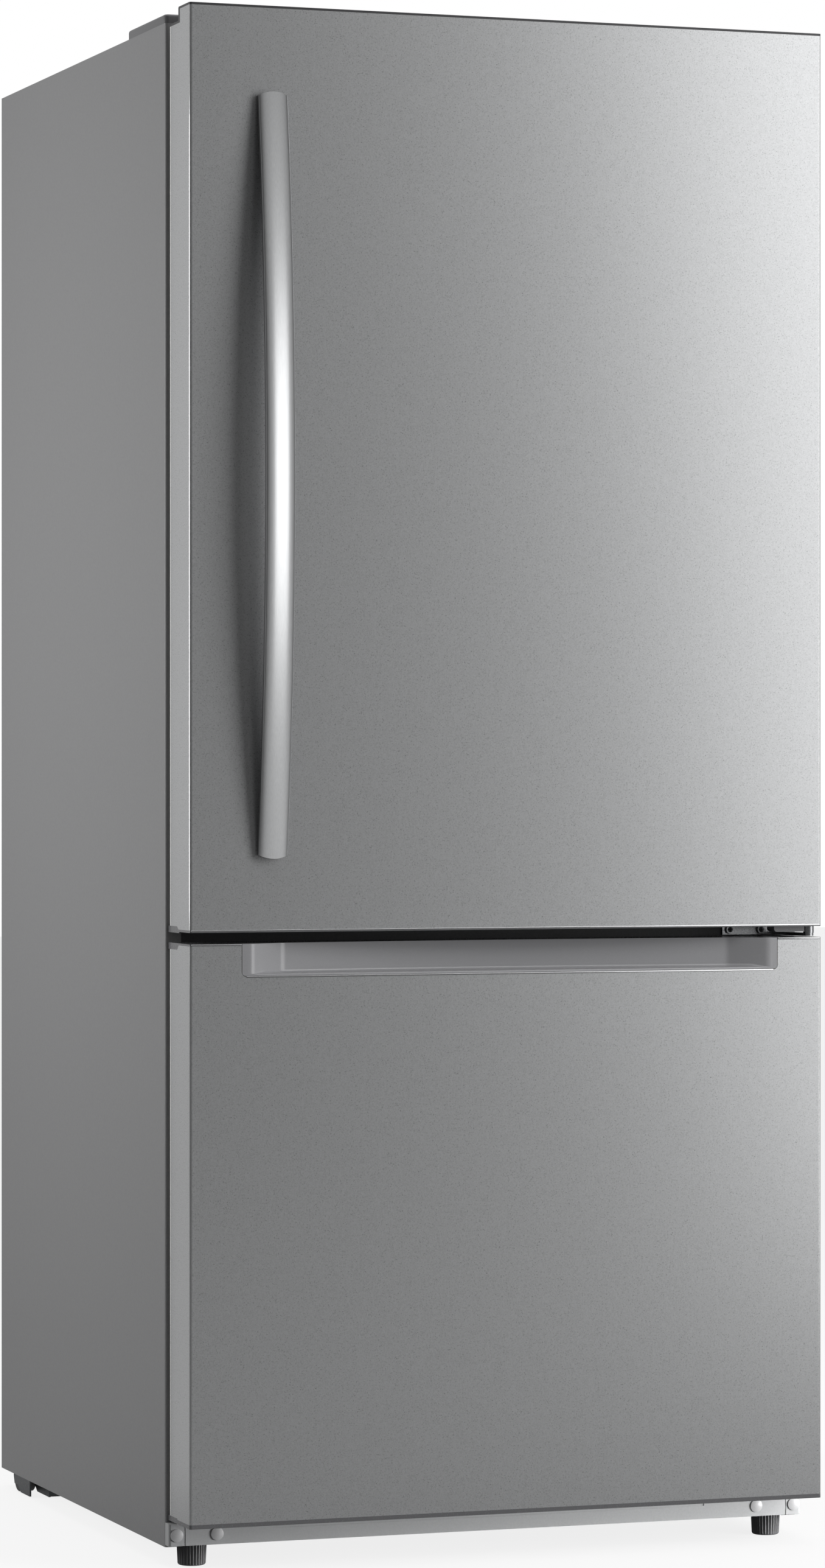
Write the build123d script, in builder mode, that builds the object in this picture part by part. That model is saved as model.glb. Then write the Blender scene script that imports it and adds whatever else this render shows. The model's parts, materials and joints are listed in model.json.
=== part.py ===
from build123d import *
import math
import os

# A free-standing refrigerator: a hinged door above, and a freezer that pulls out as a drawer below.
# Millimetres. +X is the viewer's right, where the door is hinged, +Y runs to the back, +Z is up.
# The origin is on the floor, in the middle of the overall box. A depth is measured back from the
# plane of the two stainless fronts, and a height from the floor.

# Overall sizes
cabinet_width = 750
cabinet_top = 1685.5
body_depth = 767
cabinet_setback = 79.5
side_bottom = 21.5
handle_reach = 38

# Cabinet shell
sheet = 1.0
flange_width = 18
flange_radius = 3
back_flange = 12
frame_sheet = 1.5
rail_bottom = 30
foam_bottom = 55
channel_count = 5
channel_width = 16
channel_depth = 0.4
channel_margin = 90

# Fridge and freezer compartments, measured outside their liners
liner_wall = 2
liner_radius = 9
fridge_wall = 50
fridge_floor = 735
ceiling_foam = 47.5
back_foam = 55
freezer_wall = 62
freezer_floor = 94
freezer_ceiling = 648
freezer_back_foam = 59
mullion_bottom = 664
mullion_top = 715
ledge_reach = 8
ledge_thick = 9

# Compressor room, in the bottom rear corner of the cabinet
room_depth = 222
room_top = 262
room_foam = 45
pan_height = 40

# Doors
door_inset = 3.5
door_thickness = 72.5
door_edge_radius = 3
inner_edge_radius = 0.5
skin = 0.8
door_rise = 12.5
ledge_drop = 15
ledge_start = 36
ledge_clear = 42
ledge_round = 2
door_bottom = 697
drawer_top = 682
drawer_bottom = 56
cap_wall = 4
cap_lip = 2.6
drawer_top_lip = 2.2
drawer_bottom_lip = 4.6
ear_front = 38
ear_slant = 8
ear_thick = 10
ear_reach = 7.1
ear_drop = 1.2
ear_back = 79
door_liner_wall = 2.5
gasket_width = 22
gasket_inset = 9
gasket_gap = 0.5

# Shelf brackets moulded in the door's liner, and the bins between them
dike_inset = 73.5
dike_width = 16.5
dike_back = 108
dike_rise = 63
dike_drop = 78
bin_count = 4
bin_rise = 15
bin_drop = 170
bin_tall = 92
bin_back = 188
bin_wall = 2.4
bin_radius = 12

# Door hinge
hinge_inset = 10
hinge_depth = 13
hinge_plate = 3
pin_radius = 3.5
pin_reach = 14
pin_clearance = 0.05
tip_radius = 5.5
collar_radius = 6
notch_side = 9.5
notch_front = 2.6
boss_floor = 3
plate_left = 58
plate_front = 94
plate_back = 190
arm_taper = 60
arm_step = 20
top_screw_x = (44, 12)
top_screw_depth = (112, 172)
screw_radius = 2.5
screw_head_radius = 4.6
screw_head = 2.2
screw_length = 11
washer_radius = 5.4
washer_thick = 0.9
middle_screw_insets = (83.2, 44.9)
middle_screw_drop = 8
middle_plate_inset = 91.6
middle_plate_drop = 1.5
middle_plate = 2.5
middle_arm_inset = 30
middle_arm_rise = 1.2
middle_arm_thick = 3.4
arm_shoulder = 39
stop_left_inset = 57
stop_right_inset = 20
stop_front = 10
stop_back = 30
stop_drop = 6.4
stop_radius = 3.5

# Covers on the cabinet's top, over the hinge and over the spare hinge holes
cover_width = 104
cover_front = 82
cover_back = 225
cover_height = 10.5
cover_wall = 1.8
cover_radius = 4

# Handle
handle_inset = 96
handle_drop = 8.5
handle_length = 830
handle_width = 33
handle_bow = 28
handle_side = 6
handle_end_crown = 4
mount_radius = 6
mount_from_end = 26
spine_spare = 5

# Pocket grip in the drawer's top edge
grip_left_inset = 62.5
grip_right_inset = 57
grip_drop = 35.5
grip_depth = 36
grip_end_flat = 12
grip_crease = 53
grip_crease_depth = 21
grip_floor = 3
grip_wall = 2.4
grip_corner = 5

# Kick plate and feet
kick_depth = 65.8
kick_bottom = 24
kick_top = 48.5
kick_sheet = 2
kick_lip = 4
kick_gap = 1
step_inset = 119
step_height = 39
step_press = 0.8
kick_cap_height = 35.7
kick_cap_inset = 55
kick_cap_radius = 7.1
kick_cap_rim = 1.3
kick_cap_dome = 1.3
foot_inset = 33.3
foot_depth = 89.8
foot_height = 27
foot_top_radius = 16.7
foot_bottom_radius = 15.4
foot_round = 2.5
foot_groove = 1.6
foot_groove_out = 1.2
foot_groove_end = 2
foot_ribs = 30
foot_stud_radius = 4
foot_stud_short = 1
nut_radius = 8.5

# Rear rollers and their forks
roller_inset = 14
roller_from_back = 58
roller_radius = 18
roller_width = 18
axle_radius = 3
fork_wall = 2
fork_reach = 61
fork_low = 1.5
fork_notch = 9
fork_clear = 2
fork_half = 8
fork_tail = 12
bridge_reach = 12
bridge_inset = 75
bridge_low = 2
roller_chamfer = 1
axle_end = 1

# Shelves, crispers and controls of the fridge
shelf_lowest = 203
shelf_steps = (182, 170, 160, 188)
shelf_front = 215
shelf_frame_height = 13
glass_thick = 4
glass_border = 20
glass_seat = 6
shelf_gap = 2
ledge_inset = 8
duct_half = 75
duct_depth = 30
duct_wall = 2.5
outlet_near = 25
outlet_far = 55
outlet_rise = 70
outlet_tall = 8
throat_half = 40
throat_from_back = 28
throat_behind = 6
throat_lap = 1
throat_wall = 1.5
damper_height = 690
damper_thick = 1.6
damper_pin = 1.5
damper_offset = 3
damper_clear = 1
runner_height = 898
divider_half = 2
crisper_wall = 2.2
crisper_from_back = 112
crisper_ground = 4
crisper_rim = 3
crisper_front = 6
crisper_lip = 14
crisper_face_near = 1
crisper_face_far = 3
crisper_face_rise = 24
crisper_grip_half = 60
crisper_grip_top = 15
crisper_grip_low = 2
crisper_grip_thick = 3
panel_half = 110
panel_front = 222
panel_back = 345
panel_height = 34
panel_wall = 2.2
button_x = 40
button_half = 14
button_front = 244
button_back = 266
button_travel = 1.2
button_proud = 2
button_flange = 2
button_lap = 3

# Freezer's slides, baskets and cold air circuit
rail_low = 352
rail_tall = 30
rail_wide = 11
rail_wall = 1.6
rail_front = 84
rail_from_back = 108
fixed_rail_longer = 20
middle_rail_later = 4
inner_rail_shorter = 10
inner_rail_wide = 16
basket_wall = 2.4
lower_basket_inset = 15
lower_rim_gap = 1
lower_basket_floor = 110
lower_basket_front = 90
lower_basket_gap = 20
upper_basket_floor = 425
upper_basket_rim = 545
upper_basket_front = 100
upper_basket_from_back = 98
basket_rim = 3
panel_rise = 13.5
panel_inset_x = 81.5
panel_inset_z = 62
air_wall_from_back = 80
air_wall = 3
coil_inset = 61
coil_from_back = 18
coil_bottom = 322
coil_rows = 6
coil_pitch = 30
coil_tube = 4
coil_tube_out = 10
fin_thick = 0.8
elbow_swell = 0.4
fin_count = 34
fan_height = 566
fan_hole = 48
fan_radius = 40
fan_shaft = 2.5
fan_hub = 14
fan_width = 14
fan_pitch = 32
fan_blades = 5
fan_bore_start = 1.5
fan_set_back = 10
blade_thick = 1.8
blade_chord = 20
blade_sink = 2
motor_radius = 22
motor_set_back = 30
motor_long = 24
arm_square = 6
arm_past_hole = 8
post_radius = 4
inlet_count = 14
inlet_margin = 29
inlet_wide = 22
inlet_tall = 5

# Compressor room's contents
compressor_inset = 160
compressor_from_back = 112
compressor_radius = 68
compressor_height = 142
compressor_dome = 46
compressor_foot = 12
grommet_height = 16
grommet_radius = 11
stud_radius = 4.6
foot_spread_x = 82
foot_spread_y = 52
foot_margin = 26
stud_proud = 4
terminal_out = 8
terminal_rise = 50
terminal_box = (26, 52, 56)
line_radius = 3
drier_radius = 9
drier_gap = 40
drier_forward = 60
drier_ends = (140, 210)
suction_gap = 16
suction_height = 120
condenser_inset = 305
condenser_rise = 12
condenser_plate_inset = 14
condenser_plate_thick = 1
condenser_plate_margin = 10
condenser_layers = 3
condenser_rows = 7
condenser_pitch = 26
condenser_tube = 2.5
condenser_from_back = 177
condenser_layer = 30
shroud_gap = 22
shroud_wall = 3
shroud_margin = 18
shroud_bore_gap = 5
room_fan_from_back = 127
room_fan_height = 132
room_fan_radius = 70
room_hub = 20
hub_before = 4
hub_behind = 22
hub_bore_start = 7
room_blade_pitch = 58
room_blade_chord = 28
room_motor_gap = 26
room_motor_long = 34
room_motor_radius = 24
room_shaft_start = 8
room_arm_past = 7
drain_inset = 30
drain_wide = 170
drain_from_back = 77
drain_deep = 120
drain_tall = 44
drain_wall = 2.5
vent_columns = 22
vent_rows = 4
vent_row_pitch = 50
vent_wide = 9
vent_tall = 34
vent_from_gland = 108
vent_inset = 51
gland_inset = 75
gland_z = 84
gland_radius = 9
gland_neck = 8
gland_flange = 3

# Running clearances
close_gap = 0.3
slide_gap = 0.5

half_width = cabinet_width / 2
door_half = half_width - door_inset
front_y = handle_reach - (body_depth + handle_reach) / 2
inner_half = half_width - sheet
opening_half = half_width - flange_width
back_half = half_width - back_flange
foam_front = cabinet_setback + liner_wall
back_inside = body_depth - sheet
hinge_x = door_half - hinge_inset
fridge_ceiling = cabinet_top - ceiling_foam
fridge_back = body_depth - back_foam
freezer_back = body_depth - freezer_back_foam
room_front = body_depth - room_depth
fridge_half = half_width - fridge_wall
fridge_clear = fridge_half - liner_wall
fridge_rear = fridge_back - liner_wall
fridge_roof = fridge_ceiling - liner_wall
fridge_ground = fridge_floor + liner_wall
freezer_half = half_width - freezer_wall
freezer_clear = freezer_half - liner_wall
freezer_roof = freezer_ceiling - liner_wall
step_top = room_top + room_foam
step_front = room_front - room_foam
pan_top = pan_height + frame_sheet
rail_depth = cabinet_setback + sheet
corner_clear = flange_radius - sheet
shelf_back = fridge_rear - duct_depth - shelf_gap
ledge_depths = (shelf_front + ledge_inset, shelf_back - ledge_inset)
shelf_base = fridge_floor + shelf_lowest
shelf_room = (fridge_ceiling - shelf_base) / sum(shelf_steps)
shelf_heights = [shelf_base + shelf_room * sum(shelf_steps[:number]) for number in range(len(shelf_steps))]
throat_front = fridge_back - throat_from_back
throat_back = fridge_back - throat_behind
plate_face = cabinet_setback - middle_plate
middle_screws = [half_width - inset for inset in middle_screw_insets]
middle_screw_height = door_bottom - middle_screw_drop
foot_x = half_width - foot_inset
roller_x = half_width - roller_inset
roller_depth = body_depth - roller_from_back
door_top = cabinet_top + door_rise

os.makedirs("parts", exist_ok=True)


def at(depth):
    """Y of a depth behind the fronts."""
    return front_y + depth


def span(side, a, b):
    """Range of X between two distances from the middle, on one side."""
    return tuple(sorted((side * a, side * b)))


def block(x, depth, z, mode=Mode.ADD):
    """Box between ranges of X, depth and height."""
    with Locations(((x[0] + x[1]) / 2, at((depth[0] + depth[1]) / 2), (z[0] + z[1]) / 2)):
        Box(x[1] - x[0], depth[1] - depth[0], z[1] - z[0], mode=mode)


def upright(x, depth, z, radius, mode=Mode.ADD):
    """Vertical cylinder over a range of heights."""
    with Locations((x, at(depth), (z[0] + z[1]) / 2)):
        Cylinder(radius, z[1] - z[0], mode=mode)


def across(x, depth, z, radius, mode=Mode.ADD):
    """Cylinder along X over a range of X."""
    with Locations(((x[0] + x[1]) / 2, at(depth), z)):
        Cylinder(radius, x[1] - x[0], rotation=(0, 90, 0), mode=mode)


def endwise(x, depth, z, radius, mode=Mode.ADD):
    """Cylinder along Y over a range of depths."""
    with Locations((x, at((depth[0] + depth[1]) / 2), z)):
        Cylinder(radius, depth[1] - depth[0], rotation=(90, 0, 0), mode=mode)


def tub(x, depth, z, wall, radius):
    """Open box with rounded upright edges."""
    for inset, base, mode in ((0, 0, Mode.ADD), (wall, wall, Mode.SUBTRACT)):
        with BuildSketch(Plane.XY.offset(z[0] + base)) as plan:
            with Locations(((x[0] + x[1]) / 2, at((depth[0] + depth[1]) / 2))):
                RectangleRounded(x[1] - x[0] - 2 * inset, depth[1] - depth[0] - 2 * inset, radius - inset)
        extrude(plan.sketch, amount=z[1] - z[0] - base, mode=mode)


def near(vertices, a, b):
    """The vertex of a sketch nearest to a point in its own plane."""
    return vertices.sort_by_distance((a, b, 0))[0]


def save(part, name):
    part.label = name
    export_step(part, f"parts/{name}.step")


# ---------------------------------------------------------------- cabinet shell

# Outer side sheets, rolled in at the front and folded in at the back.
with BuildPart() as side_panels:
    for side in (-1, 1):
        outer = side * half_width
        with BuildSketch(Plane.XY.offset(side_bottom)) as profile:
            with BuildLine():
                Polyline(
                    (outer, at(body_depth)),
                    (outer, at(cabinet_setback)),
                    (side * opening_half, at(cabinet_setback)),
                    (side * opening_half, at(rail_depth)),
                    (side * inner_half, at(rail_depth)),
                    (side * inner_half, at(back_inside)),
                    (side * back_half, at(back_inside)),
                    (side * back_half, at(body_depth)),
                    close=True,
                )
            make_face()
            fillet(near(profile.vertices(), outer, at(cabinet_setback)), flange_radius)
            fillet(near(profile.vertices(), side * inner_half, at(rail_depth)), corner_clear)
        extrude(amount=cabinet_top - side_bottom)
save(side_panels.part, "side_panels")


def hinge_screw_shanks(mode):
    head = cabinet_top + hinge_plate
    for offset in top_screw_x:
        for depth in top_screw_depth:
            upright(hinge_x - offset, depth, (head - screw_length, head), screw_radius, mode)
    for x in middle_screws:
        endwise(x, (plate_face, plate_face + screw_length), middle_screw_height, screw_radius, mode)


# Top sheet with its front and rear lips, between the side panels.
with BuildPart() as top_panel:
    sheet_front = rail_depth + corner_clear
    block((-inner_half, inner_half), (sheet_front, back_inside), (cabinet_top - sheet, cabinet_top))
    between = inner_half - corner_clear
    block((-between, between), (rail_depth, sheet_front), (cabinet_top - sheet, cabinet_top))
    lip = (cabinet_top - flange_width, cabinet_top)
    block((-opening_half, opening_half), (cabinet_setback, rail_depth), lip)
    lip = (cabinet_top - back_flange, cabinet_top)
    block((-back_half, back_half), (back_inside, body_depth), lip)
    hinge_screw_shanks(Mode.SUBTRACT)
save(top_panel.part, "top_panel")

# Back sheet above the compressor room, with pressed stiffening channels.
with BuildPart() as back_panel:
    block((-back_half, back_half), (back_inside, body_depth), (room_top, cabinet_top - back_flange))
    channel_pitch = 2 * (back_half - channel_margin) / (channel_count - 1)
    with Locations((0, at(body_depth - channel_depth / 2), (room_top + cabinet_top) / 2)):
        with GridLocations(channel_pitch, 1, channel_count, 1):
            channel_tall = cabinet_top - room_top - 2 * channel_margin
            Box(channel_width, channel_depth, channel_tall, mode=Mode.SUBTRACT)
save(back_panel.part, "back_panel")

# Steel frame under the foam: floor sheet, front rail, side webs, nuts of the feet, compressor pan.
with BuildPart() as base_frame:
    full = (-inner_half, inner_half)
    block(full, (sheet_front, room_front), (foam_bottom - frame_sheet, foam_bottom))
    block((-between, between), (rail_depth, sheet_front), (rail_bottom, foam_bottom))
    block(full, (room_front - frame_sheet, room_front), (pan_height, foam_bottom))
    block(full, (room_front - frame_sheet, back_inside), (pan_height, pan_top))
    for side in (-1, 1):
        web = span(side, inner_half, inner_half - frame_sheet)
        block(web, (sheet_front, back_inside), (rail_bottom, foam_bottom))
        nut = (foot_height + close_gap, foam_bottom)
        upright(side * foot_x, foot_depth, nut, nut_radius)
        upright(side * foot_x, foot_depth, nut, foot_stud_radius + pin_clearance, Mode.SUBTRACT)
save(base_frame.part, "base_frame")

# ---------------------------------------------------------------- foam and liners


def air_passage():
    """Way of the cold air from the freezer's ceiling to the fridge's duct."""
    heights = (freezer_roof - throat_lap, fridge_ground + throat_lap)
    block((-throat_half, throat_half), (throat_front, throat_back), heights, Mode.SUBTRACT)


def freezer_room(wall, radius, mode):
    """Freezer's space, stepped over the compressor room, drawn in from the liner's outside by a wall."""
    with BuildSketch(Plane.YZ) as profile:
        with BuildLine():
            Polyline(
                (at(cabinet_setback), freezer_floor + wall),
                (at(step_front - wall), freezer_floor + wall),
                (at(step_front - wall), step_top + wall),
                (at(freezer_back - wall), step_top + wall),
                (at(freezer_back - wall), freezer_ceiling - wall),
                (at(cabinet_setback), freezer_ceiling - wall),
                close=True,
            )
        make_face()
        fillet(near(profile.vertices(), at(step_front), freezer_floor), radius)
        fillet(near(profile.vertices(), at(freezer_back), step_top), radius)
    extrude(profile.sketch, amount=freezer_half - wall, both=True, mode=mode)


with BuildPart() as cabinet_foam:
    block((-inner_half, inner_half), (foam_front, back_inside), (foam_bottom, cabinet_top - sheet))
    fillet(cabinet_foam.edges().filter_by(Axis.Z).group_by(Axis.Y)[0], corner_clear)
    block((-inner_half, inner_half), (room_front, back_inside), (foam_bottom, room_top), Mode.SUBTRACT)
    fridge_room = (fridge_floor, fridge_ceiling)
    block((-fridge_half, fridge_half), (foam_front, fridge_back), fridge_room, Mode.SUBTRACT)
    freezer_room(0, liner_radius + liner_wall, Mode.SUBTRACT)
    air_passage()
    hinge_screw_shanks(Mode.SUBTRACT)
save(cabinet_foam.part, "cabinet_foam")

# Moulded box of the fridge, with ledges on its side walls for the shelves and crispers.
with BuildPart() as fridge_liner:
    flange = (mullion_top, cabinet_top - flange_width)
    block((-opening_half, opening_half), (cabinet_setback, foam_front), flange)
    block((-fridge_half, fridge_half), (cabinet_setback, fridge_back), fridge_room)
    with BuildSketch(Plane.XZ.offset(-at(cabinet_setback))):
        with Locations((0, (fridge_ground + fridge_roof) / 2)):
            RectangleRounded(2 * fridge_clear, fridge_roof - fridge_ground, liner_radius)
    extrude(amount=cabinet_setback - fridge_rear, mode=Mode.SUBTRACT)
    for height in (*shelf_heights, runner_height):
        for side in (-1, 1):
            reach = span(side, fridge_clear, fridge_clear - ledge_reach)
            block(reach, ledge_depths, (height - ledge_thick, height))
    air_passage()
save(fridge_liner.part, "fridge_liner")

# Moulded box of the freezer, with a ledge on each side for the upper basket.
with BuildPart() as freezer_liner:
    flange = (foam_bottom + sheet, mullion_bottom)
    block((-opening_half, opening_half), (cabinet_setback, foam_front), flange)
    freezer_room(0, liner_radius + liner_wall, Mode.ADD)
    freezer_room(liner_wall, liner_radius, Mode.SUBTRACT)
    for side in (-1, 1):
        reach = span(side, freezer_clear, freezer_clear - ledge_reach)
        heights = (upper_basket_rim - ledge_thick, upper_basket_rim)
        block(reach, (upper_basket_front, freezer_back - upper_basket_from_back), heights)
    air_passage()
save(freezer_liner.part, "freezer_liner")

# Steel strip between the two openings, which both gaskets seal on.
with BuildPart() as front_mullion:
    block((-opening_half, opening_half), (cabinet_setback, foam_front), (mullion_bottom, mullion_top))
    hinge_screw_shanks(Mode.SUBTRACT)
save(front_mullion.part, "front_mullion")

# ---------------------------------------------------------------- hinges on the cabinet

# Each cover is a shell, and the hinge's arm comes out of a slot in its front.
with BuildPart() as hinge_covers:
    for side in (-1, 1):
        for inset, mode in ((0, Mode.ADD), (cover_wall, Mode.SUBTRACT)):
            cover = span(side, half_width - inset, half_width - cover_width + inset)
            with BuildSketch(Plane.XY.offset(cabinet_top)):
                with Locations(((cover[0] + cover[1]) / 2, at((cover_front + cover_back) / 2))):
                    RectangleRounded(
                        cover[1] - cover[0],
                        cover_back - cover_front - 2 * inset,
                        cover_radius - inset,
                    )
            extrude(amount=cover_height - inset, mode=mode)
    arm_slot = (hinge_x - plate_left, hinge_x + tip_radius + close_gap)
    slot_heights = (cabinet_top, cabinet_top + hinge_plate + close_gap)
    block(arm_slot, (cover_front, cover_front + cover_wall), slot_heights, Mode.SUBTRACT)
save(hinge_covers.part, "hinge_covers")

# Top hinge: a plate screwed to the cabinet, with an arm forward to a pin that hangs into the door.
with BuildPart() as top_hinge:
    with BuildSketch(Plane.XY.offset(cabinet_top)):
        with BuildLine():
            Polyline(
                (hinge_x + tip_radius, at(hinge_depth)),
                (hinge_x + tip_radius, at(plate_back)),
                (hinge_x - plate_left, at(plate_back)),
                (hinge_x - plate_left, at(plate_front)),
                (hinge_x - arm_step, at(plate_front)),
                (hinge_x - tip_radius, at(arm_taper)),
                (hinge_x - tip_radius, at(hinge_depth)),
                close=True,
            )
        make_face()
        with Locations((hinge_x, at(hinge_depth))):
            Circle(tip_radius)
    extrude(amount=hinge_plate)
    upright(hinge_x, hinge_depth, (cabinet_top - pin_reach, cabinet_top), pin_radius)
    hinge_screw_shanks(Mode.SUBTRACT)
save(top_hinge.part, "top_hinge")

# Middle hinge: a plate on the mullion, an arm forward under the door, a collar and a pin up into it.
middle_arm_bottom = drawer_top + middle_arm_rise
middle_arm_left = half_width - middle_arm_inset
collar_bottom = middle_arm_bottom + middle_arm_thick
collar_top = door_bottom - cap_lip - close_gap
with BuildPart() as middle_hinge:
    plate_heights = (middle_arm_bottom, door_bottom - middle_plate_drop)
    block((half_width - middle_plate_inset, opening_half), (plate_face, cabinet_setback), plate_heights)
    with BuildSketch(Plane.XY.offset(middle_arm_bottom)):
        with BuildLine():
            Polyline(
                (hinge_x + tip_radius, at(hinge_depth)),
                (opening_half, at(arm_shoulder)),
                (opening_half, at(cabinet_setback)),
                (middle_arm_left, at(cabinet_setback)),
                (middle_arm_left, at(arm_shoulder)),
                (hinge_x - tip_radius, at(hinge_depth)),
                close=True,
            )
        make_face()
        with Locations((hinge_x, at(hinge_depth))):
            Circle(tip_radius)
    extrude(amount=middle_arm_thick)
    upright(hinge_x, hinge_depth, (collar_bottom, collar_top), collar_radius)
    upright(hinge_x, hinge_depth, (collar_top, collar_top + pin_reach), pin_radius)
    hinge_screw_shanks(Mode.SUBTRACT)
save(middle_hinge.part, "middle_hinge")

with BuildPart() as hinge_screws:
    hinge_screw_shanks(Mode.ADD)
    head = cabinet_top + hinge_plate
    for offset in top_screw_x:
        for depth in top_screw_depth:
            upright(hinge_x - offset, depth, (head, head + screw_head), screw_head_radius)
    washer_face = plate_face - washer_thick
    for x in middle_screws:
        endwise(x, (washer_face, plate_face), middle_screw_height, washer_radius)
        endwise(x, (washer_face - screw_head, washer_face), middle_screw_height, screw_head_radius)
save(hinge_screws.part, "hinge_screws")

# ---------------------------------------------------------------- kick plate, feet, rollers

# Kick plate, with a shallow pressed step along its top edge.
with BuildPart() as kick_plate:
    kick_half = opening_half - kick_gap
    kick_heights = (kick_bottom, kick_top)
    block((-kick_half, kick_half), (kick_depth, kick_depth + kick_sheet), kick_heights)
    block((-kick_half, kick_half), (kick_depth, rail_depth), (kick_top - kick_sheet, kick_top))
    lip_depths = (kick_depth, kick_depth + kick_sheet + kick_lip)
    block((-kick_half, kick_half), lip_depths, (kick_bottom, kick_bottom + kick_sheet))
    press = (kick_depth, kick_depth + step_press)
    step_half = half_width - step_inset
    block((-step_half, step_half), press, (step_height, kick_top), Mode.SUBTRACT)
save(kick_plate.part, "kick_plate")

with BuildPart() as kick_corners:
    for side in (-1, 1):
        block(span(side, opening_half, half_width), (kick_depth, cabinet_setback), kick_heights)
    front_edges = kick_corners.edges().filter_by(Axis.Z).group_by(Axis.Y)[0].sort_by(Axis.X)
    fillet([front_edges[0], front_edges[-1]], flange_radius)
save(kick_corners.part, "kick_corners")

# Caps over the screws of the kick plate and of its corner pieces: a low dome on a straight rim.
with BuildPart() as kick_screw_caps:
    corner_cap_x = (opening_half + half_width) / 2
    kick_cap_x = half_width - kick_cap_inset
    dome_radius = (kick_cap_radius**2 + kick_cap_dome**2) / (2 * kick_cap_dome)
    dome_base = kick_depth - kick_cap_rim
    for x in (-corner_cap_x, -kick_cap_x, kick_cap_x, corner_cap_x):
        with Locations((x, at(dome_base - kick_cap_dome + dome_radius), kick_cap_height)):
            Sphere(dome_radius)
    behind = (dome_base, dome_base + 2 * dome_radius)
    block((-cabinet_width, cabinet_width), behind, (-cabinet_width, cabinet_width), Mode.SUBTRACT)
    for x in (-corner_cap_x, -kick_cap_x, kick_cap_x, corner_cap_x):
        endwise(x, (dome_base, kick_depth), kick_cap_height, kick_cap_radius)
save(kick_screw_caps.part, "kick_screw_caps")


def front_foot(side, name):
    """Levelling foot: a ribbed knob on a threaded stud."""
    centre = (side * foot_x, at(foot_depth), 0)
    stud_top = foam_bottom - frame_sheet - foot_stud_short
    with BuildPart() as foot:
        with BuildSketch(Plane(centre, x_dir=(1, 0, 0), z_dir=(0, -1, 0))) as knob:
            with BuildLine():
                Polyline(
                    (0, 0),
                    (foot_bottom_radius, 0),
                    (foot_top_radius, foot_height),
                    (foot_stud_radius, foot_height),
                    (foot_stud_radius, stud_top),
                    (0, stud_top),
                    close=True,
                )
            make_face()
            fillet(near(knob.vertices(), foot_bottom_radius, 0), foot_round)
        revolve(axis=Axis(centre, (0, 0, 1)))
        with BuildSketch(Plane(centre)):
            with PolarLocations(foot_bottom_radius + foot_groove_out, foot_ribs):
                Circle(foot_groove)
        extrude(amount=foot_height - foot_groove_end, mode=Mode.SUBTRACT)
    save(foot.part, name)


front_foot(-1, "front_foot_left")
front_foot(1, "front_foot_right")

# Forks of the rear rollers, with a cross plate in front of them.
cheek_offset = roller_width / 2 + close_gap
fork_front = roller_depth - fork_reach
bridge_front = fork_front - bridge_reach
with BuildPart() as rear_roller_brackets:
    for side in (-1, 1):
        for offset, front in ((-cheek_offset - fork_wall, bridge_front), (cheek_offset, fork_front)):
            near_face = side * (roller_x + offset)
            with BuildSketch(Plane.YZ.offset(near_face)):
                with BuildLine():
                    Polyline(
                        (at(front), pan_height),
                        (at(front), fork_low),
                        (at(roller_depth - roller_radius - fork_clear), fork_low),
                        (at(roller_depth - fork_half), roller_radius - fork_notch),
                        (at(roller_depth + fork_half), roller_radius - fork_notch),
                        (at(roller_depth + fork_tail), roller_radius),
                        (at(roller_depth + fork_tail), pan_height),
                        close=True,
                    )
                make_face()
            extrude(amount=side * fork_wall)
        inner_cheek = roller_x - cheek_offset
        bridge = span(side, half_width - bridge_inset, inner_cheek)
        block(bridge, (bridge_front, bridge_front + fork_wall), (bridge_low, pan_height))
        axle = span(side, roller_x - cheek_offset - axle_end, roller_x + cheek_offset + axle_end)
        across(axle, roller_depth, roller_radius, axle_radius)
save(rear_roller_brackets.part, "rear_roller_brackets")


def rear_roller(side, name):
    """Nylon roller that the cabinet is tipped back on to be moved."""
    ends = span(side, roller_x - roller_width / 2, roller_x + roller_width / 2)
    with BuildPart() as roller:
        across(ends, roller_depth, roller_radius, roller_radius)
        chamfer(roller.edges().filter_by(GeomType.CIRCLE), roller_chamfer)
        across(ends, roller_depth, roller_radius, axle_radius + pin_clearance, Mode.SUBTRACT)
    save(roller.part, name)


rear_roller(-1, "rear_roller_left")
rear_roller(1, "rear_roller_right")

# ---------------------------------------------------------------- fridge interior

# Shelves: plastic frames with a rebate, and the glass that lies in it. The lowest covers the crispers.
shelf_half = fridge_clear - close_gap
with BuildPart() as shelf_frames:
    for height in shelf_heights:
        top = height + close_gap + shelf_frame_height
        block((-shelf_half, shelf_half), (shelf_front, shelf_back), (height + close_gap, top))
        for border, low in ((glass_border, height), (glass_border - glass_seat, top - glass_thick)):
            hole = (-shelf_half + border, shelf_half - border)
            block(hole, (shelf_front + border, shelf_back - border), (low, top), Mode.SUBTRACT)
save(shelf_frames.part, "shelf_frames")

with BuildPart() as shelf_glass:
    border = glass_border - glass_seat
    for height in shelf_heights:
        top = height + close_gap + shelf_frame_height
        pane = (-shelf_half + border, shelf_half - border)
        block(pane, (shelf_front + border, shelf_back - border), (top - glass_thick, top))
save(shelf_glass.part, "shelf_glass")

# Wall between the crispers, with a runner ledge on each side.
with BuildPart() as crisper_divider:
    block((-divider_half, divider_half), ledge_depths, (fridge_ground, shelf_heights[0] + close_gap))
    runner = (-divider_half - ledge_reach, divider_half + ledge_reach)
    block(runner, ledge_depths, (runner_height - ledge_thick, runner_height))
save(crisper_divider.part, "crisper_divider")


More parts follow.
